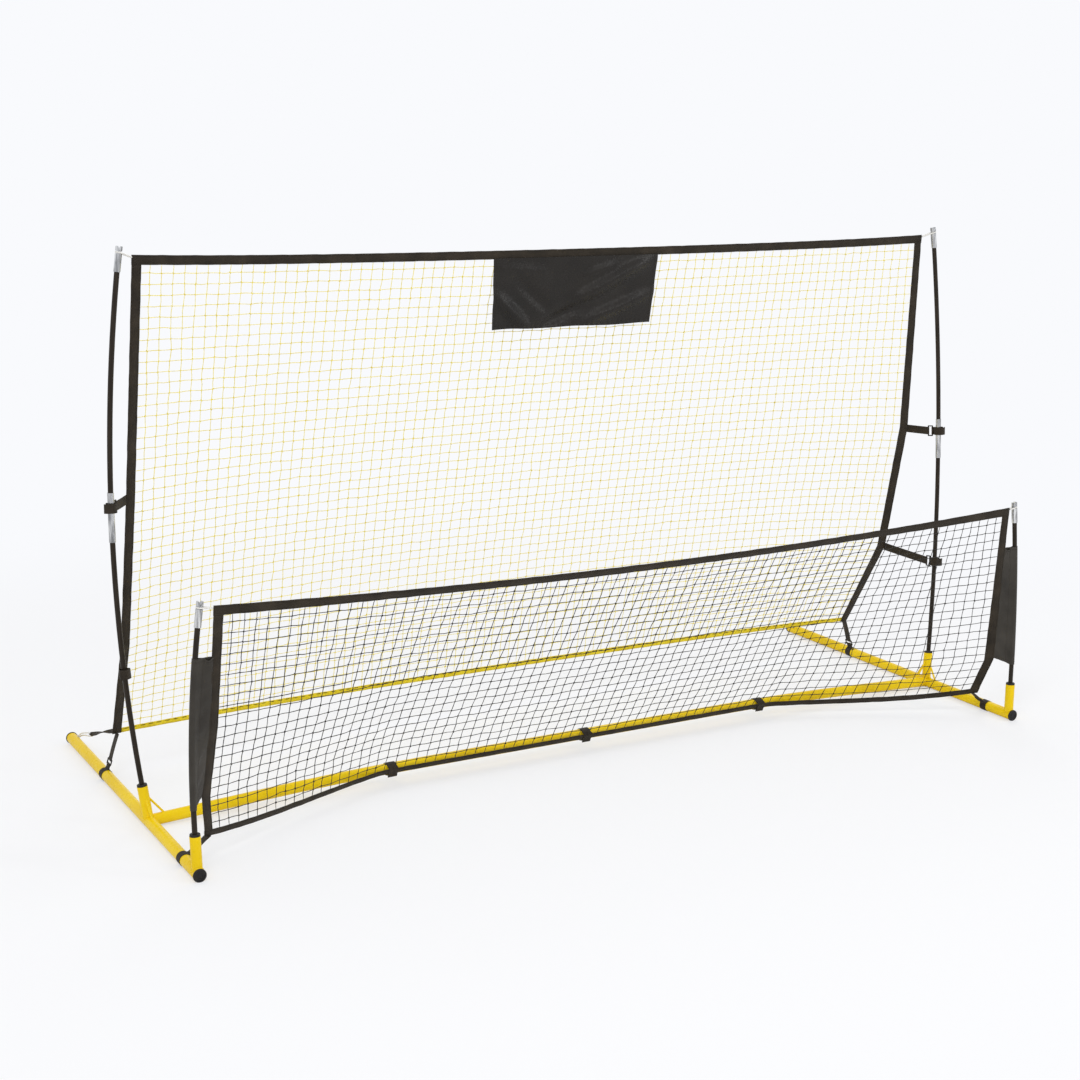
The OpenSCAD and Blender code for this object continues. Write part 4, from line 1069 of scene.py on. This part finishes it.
class Strap:
    """A loop round a tube or pole, a wire ring and a tab to the net."""

    def __init__(self, at, axis, radius, thickness, reach, target, slack=0.0):
        x = unit(across(target - at, axis))
        second = at + (radius + reach + RING_W) * x
        tab = target - second
        self.frame = upright(at, x, axis)
        self.radius, self.thickness, self.bar, self.slack = radius, thickness, radius + reach, slack
        self.tab_frame = upright(second, tab, axis)
        self.reach = np.linalg.norm(across(tab, axis)) + TAB_LAP
        self.rise = tab @ axis

    def loop(self, build):
        """Round the tube or pole, in two layers to the ring's first bar and round that."""
        meet, apart = self.radius + 0.004, LAYER * 0.6
        round_tube = self.eased(turn2(self.radius + self.thickness / 2, 9, 351, 40))
        round_bar = turn2(EYE_R + LAYER / 2, -165, 165, 14, self.bar)
        path = np.concatenate([[[meet, apart]], round_tube, [[meet, -apart]], round_bar,
                               [[self.radius + 0.003, apart]]])
        webbing_loop(build, self.frame, path, STRAP_W, LAYER)

    def eased(self, turn):
        """A turn round the tube with the strap's slack behind it and at its flanks."""
        x, y = turn.T
        more = 1 + self.slack / self.radius
        return np.stack([np.where(x < 0, x * more, x), y * (1 + more) / 2], 1)

    def flap(self, build):
        """The strap's free end, pressed on round the loop and lifting at its tip."""
        turn = self.eased(turn2(self.radius + self.thickness + FLAP_OVER, 20, 215, 24))
        lift = FLAP_LIFT * np.linspace(0, 1, len(turn))[:, None] ** 6
        path = np.concatenate([[[self.bar - 0.0045, 0.0030]], turn + lift * unit(turn)])
        webbing_loop(build, self.frame, path, STRAP_W * 0.96, FLAP_T)

    def stitching(self, build):
        """Two rows of stitches that close the loop between the tube and the ring."""
        for x in (self.radius + 0.003, self.bar - 0.0035):
            z = np.linspace(-0.42, 0.42, 12) * STRAP_W
            for face in (1, -1):
                line = np.stack([0 * z + x, 0 * z + face * 0.0009, z], 1)
                normal = np.broadcast_to(self.frame[:, 1] * face, line.shape)
                stitches(build, placed(self.frame, line), normal, 0.0001, STRAP_STITCH_STEP)

    def tab(self, build):
        """Round the ring's second bar, then two layers to a blunt point at the net."""
        round_bar = turn2(EYE_R + LAYER / 2, 20, 340, 14)
        run = np.linspace(0.004, self.reach, 14)
        bow = 0.0006 * np.sin(np.linspace(0, math.pi, len(run)))
        top = np.stack([run, LAYER * 0.52 + bow], 1)[::-1]
        bottom = np.stack([run, -LAYER * 0.52 + bow], 1)
        path = np.concatenate([top, round_bar, bottom])
        rise = np.clip(path[:, 0] / self.reach, 0, 1) * self.rise
        webbing_loop(build, self.tab_frame, path, STRAP_W * 0.98, LAYER, rise)


def pole_strap(s, radius, target, slack):
    return Strap(REAR_POLE.at(s), REAR_POLE.way(s), radius + LOOSE, STRAP_T, 0.008, target, slack)


def rail_strap(y, target):
    return Strap(np.array([RAIL_X, y, RAIL_Z]), np.array([0, 1.0, 0]), TUBE_R + 0.0001, 0.0008, 0.012,
                 np.array([target[0], y, target[2]]))


HIGH_SLACK, LOW_SLACK = 0.0035, 0.0060
POLE_STRAPS = [pole_strap(HIGH_STRAP, SPLICE_R, TALL_EDGE[1], HIGH_SLACK),
               pole_strap(LOW_STRAP, POLE_R, TALL_EDGE[2], LOW_SLACK)]
RAIL_STRAPS = [rail_strap(BAR_Y + TAIL_BACK, TALL_EDGE[3] - [BAND_W / 2, 0, 0.001]),
               rail_strap(FRONT_Y + CORNER_SETBACK, LOW_EDGE[3] - [BAND_W / 2, 0, 0.001])]


def make_straps():
    parts = {name: Build() for name in ("pole", "rail", "tabs", "threads")}
    for strap in POLE_STRAPS:
        strap.loop(parts["pole"])
        strap.flap(parts["pole"])
    for strap in RAIL_STRAPS:
        strap.loop(parts["rail"])
    for strap in POLE_STRAPS + RAIL_STRAPS:
        strap.tab(parts["tabs"])
        strap.stitching(parts["threads"])
    for build in parts.values():
        build.mirror()
    parts["pole"].make("pole_strap_loops", WEBBING, "pole_straps")
    parts["rail"].make("rail_strap_loops", WEBBING, "corner_straps")
    parts["tabs"].make("strap_tab_webbing", WEBBING, "strap_tabs")
    parts["threads"].make("strap_stitches", THREAD)


make_straps()


def make_crossbar_straps():
    """Round the crossbar's back and the low net's bottom band, with a short free end below."""
    inner = TUBE_R + LOOSE + STRAP_T / 2
    face = BAR_BAND_GAP + BAND_T / 2 + LOOSE + STRAP_T / 2
    top, foot = np.array([face, FOOT_BAND_W + 0.001 + STRAP_T / 2]), np.array([face, -0.0015 - STRAP_T / 2])

    def wrap(corner):
        return math.degrees(math.acos(inner / np.linalg.norm(corner)))

    first = math.degrees(math.atan2(top[1], top[0])) + wrap(top)
    last = 360 + math.degrees(math.atan2(foot[1], foot[0])) - wrap(foot)
    free_end = [[face + 0.0014, -0.0075], [face + 0.0008, -0.003]]
    front = np.linspace([face + 0.0002, -0.0008], top, 8)
    path = np.concatenate([free_end, front, turn2(inner, first, last, 30), [foot],
                           [[face - 0.0006, 0.0035]]])
    build = Build()
    for x in (-STRAP_AT, 0, STRAP_AT):
        at = np.array([x, BAR_Y, float(bar_z(x))])
        level = np.array([-1, 0, math.tan(float(bar_slope(x)))])
        webbing_loop(build, upright(at, BAR_BAND_WAY, level), path, STRAP_W + 0.002, 0.0012)
    build.make("crossbar_strap_webbing", WEBBING, "crossbar_straps")


make_crossbar_straps()


def make_tails():
    """Twisted webbing from each lower corner of the tall net to its elastic."""
    run = np.linspace(0, 1, 60)
    line = lerp(TAIL_START, TAIL_END, run[:, None])
    way = unit(TAIL_END - TAIL_START)
    first = unit(across(np.array([1.0, 0, 0]), way))
    second = np.cross(way, first)
    twist = math.pi * np.clip((run - 0.1) / 0.75, 0, 1) + math.pi / 2
    width = STRAP_W * (0.5 - 0.08 * np.sin(math.pi * run))
    across_w = WEB_SHARES[None, :, None]
    spread = (np.cos(twist)[:, None] * first + np.sin(twist)[:, None] * second) * width[:, None]
    grid = line[:, None] + across_w * spread[:, None]
    build = Build()
    build.cloth(grid, STRAP_T, grid_spots(lengths(line), across_w[..., 0] * STRAP_W))
    layer, eye_r, eye_length = 0.0008, ELASTIC_D / 2 + SLIDE + 0.0004, 0.0014
    leg = np.array([[-0.007, layer * 1.5], [-0.0035, layer * 1.5]])
    eye = np.concatenate([leg, turn2(eye_r, 90, -90, 16, eye_length), leg[::-1] * [1, -1]])
    webbing_loop(build, upright(APEX, TAIL_WAY, TAIL_SIDE), eye, STRAP_W * 0.36, layer)
    build.mirror()
    build.make("net_tail_webbing", WEBBING, "net_tails")


make_tails()
tall_stitches.make("tall_stitches", THREAD)
low_stitches.make("low_stitches", THREAD)
hem_stitches.make("hem_stitches", YELLOW_THREAD)

# ---- Weld beads ----

SOCKET_R = 0.011
BEAD_R, BEAD_STEP, SCALLOP, UNEVEN = 0.0017, 0.0032, 0.16, 0.05


def weld_bead(build, line):
    """A scalloped bead along a closed line of points."""
    line = np.concatenate([line, line[:3]])
    s = lengths(line)
    scallop = 1 + SCALLOP * np.abs(np.sin(math.pi * s / BEAD_STEP)) + UNEVEN * np.sin(140 * s)
    build.tube(line, BEAD_R * scallop, 8)


def make_weld_beads():
    """Where the sockets stand on the rails and the stubs meet them."""
    build = Build()
    a = np.linspace(0, 2 * math.pi, 97)[:-1]
    for foot, way in ((FRONT_FOOT, FRONT_WAY), (REAR_FOOT, REAR_WAY)):
        x = unit(across(np.array([1.0, 0, 0]), way))
        ring = foot + SOCKET_R * (np.cos(a)[:, None] * x + np.sin(a)[:, None] * np.cross(way, x))
        aside = ring[:, 0] - RAIL_X
        for _ in range(3):
            high = np.sqrt(np.clip(TUBE_R ** 2 - aside ** 2, 0, None))
            aside = ring[:, 0] - RAIL_X + way[0] * high
        weld_bead(build, ring + high[:, None] * way / way[2])
    line = np.stack([RAIL_X - TUBE_R * np.sqrt(np.cos(a) ** 2 + 0.01), BAR_Y + TUBE_R * np.cos(a),
                     np.maximum(RAIL_Z + TUBE_R * np.sin(a), 2 * BEAD_R)], 1)
    weld_bead(build, line)
    build.mirror()
    build.make("weld_beads", CAD_FINISHES["painted_tube"])


# ---- Finishes of the CAD's own pieces ----

CAD_FINISHES = {finish.slot: finish for finish in (
    paint_finish(), steel_finish(), plastic_finish(), pole_finish(), polished_finish(), wire_finish())}


def finish_nodes():
    slots = {part["node"]: part["material_slot"] for part in frame["record"]["subparts"]}
    for node, piece in frame["nodes"].items():
        finish = CAD_FINISHES.get(slots[node])
        if finish:
            piece.data.materials.clear()
            piece.data.materials.append(finish.material)


finish_nodes()


def make_springs():
    """The leaf springs again, each a piece with a mesh of its own on the frame body."""
    for joint in frame["record"]["behaviour"]["joints"]:
        side = joint["child"].removeprefix("snap_button_")
        node = f"button_spring_{side}"
        piece = add_object(f"leaf_spring_{side}", frame["nodes"][node].data.copy())
        piece.matrix_world = frame["nodes"][node].matrix_world
        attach(piece, "frame")
        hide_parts(node)
        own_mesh(piece)


make_springs()
make_weld_beads()

# ---- Floor, backdrop and light ----

BACKDROP = colour(249, 250, 253)
FLOOR_R, FADE_FROM, FADE_TO = 14.0, 1.3, 2.8
FLOOR_GLOW = 0.55
WORLD_LIGHT = 0.75


def make_floor():
    """White floor that keeps the shadows near the object and fades into the backdrop."""
    turn = np.linspace(0, 2 * math.pi, 97)[:-1]
    points = np.stack([FLOOR_R * np.cos(turn), FLOOR_R * np.sin(turn), 0 * turn], 1)
    mesh = bpy.data.meshes.new("floor")
    mesh.from_pydata(points.tolist(), [], [list(range(len(points)))])
    floor = add_object("floor", mesh)
    white = Finish("floor", Base_Color=colour(246, 246, 247), Roughness=0.8, Specular_IOR_Level=0.1)
    at = white.node("TexCoord", {}).outputs["Object"]
    away = white.node("VectorMath", {0: at}, operation="LENGTH").outputs["Value"]
    fade = white.node("MapRange", {0: away, 1: FADE_FROM, 2: FADE_TO, 3: FLOOR_GLOW},
                      interpolation_type="SMOOTHSTEP")
    seen = white.node("LightPath", {}).outputs["Is Camera Ray"]
    glow = white.node("Emission", {"Color": BACKDROP}).outputs[0]
    mix = white.node("MixShader", {0: white.maths("MULTIPLY", fade.outputs[0], seen),
                                   1: white.shader.outputs[0], 2: glow})
    output = next(n for n in white.tree.nodes if n.type == "OUTPUT_MATERIAL")
    white.put(output.inputs["Surface"], mix.outputs[0])
    mesh.materials.append(white.material)


def make_world():
    """Even white light; the camera, reflections and glass see the backdrop."""
    world = bpy.data.worlds.new("studio")
    world.use_nodes = True
    scene.world = world
    sky = Nodes(world.node_tree)
    light = sky.tree.nodes["Background"]
    sky.put(light.inputs["Color"], (1, 1, 1, 1))
    sky.put(light.inputs["Strength"], WORLD_LIGHT)
    rays = sky.node("LightPath", {}).outputs
    seen = sky.maths("MAXIMUM", rays["Is Camera Ray"], rays["Is Glossy Ray"])
    seen = sky.maths("MAXIMUM", seen, rays["Is Transmission Ray"])
    backdrop = sky.node("Background", {"Color": BACKDROP}).outputs[0]
    mix = sky.node("MixShader", {0: seen, 1: light.outputs[0], 2: backdrop}).outputs[0]
    sky.put(sky.tree.nodes["World Output"].inputs["Surface"], mix)


def make_lamp(name, at, size, power):
    lamp = add_object(name, bpy.data.lights.new(name, "AREA"))
    lamp.data.shape = "SQUARE"
    lamp.data.size = size
    lamp.data.energy = power
    lamp.location = at
    lamp.rotation_euler = (Vector((0, 0, 0.4)) - Vector(at)).to_track_quat("-Z", "Y").to_euler()


make_floor()
make_world()
make_lamp("key_lamp", (-2.2, -2.6, 4.2), 1.6, 62)
make_lamp("fill_lamp", (2.8, -3.6, 2.6), 0.8, 34)
make_lamp("back_lamp", (2.4, 2.6, 4.0), 2.0, 30)
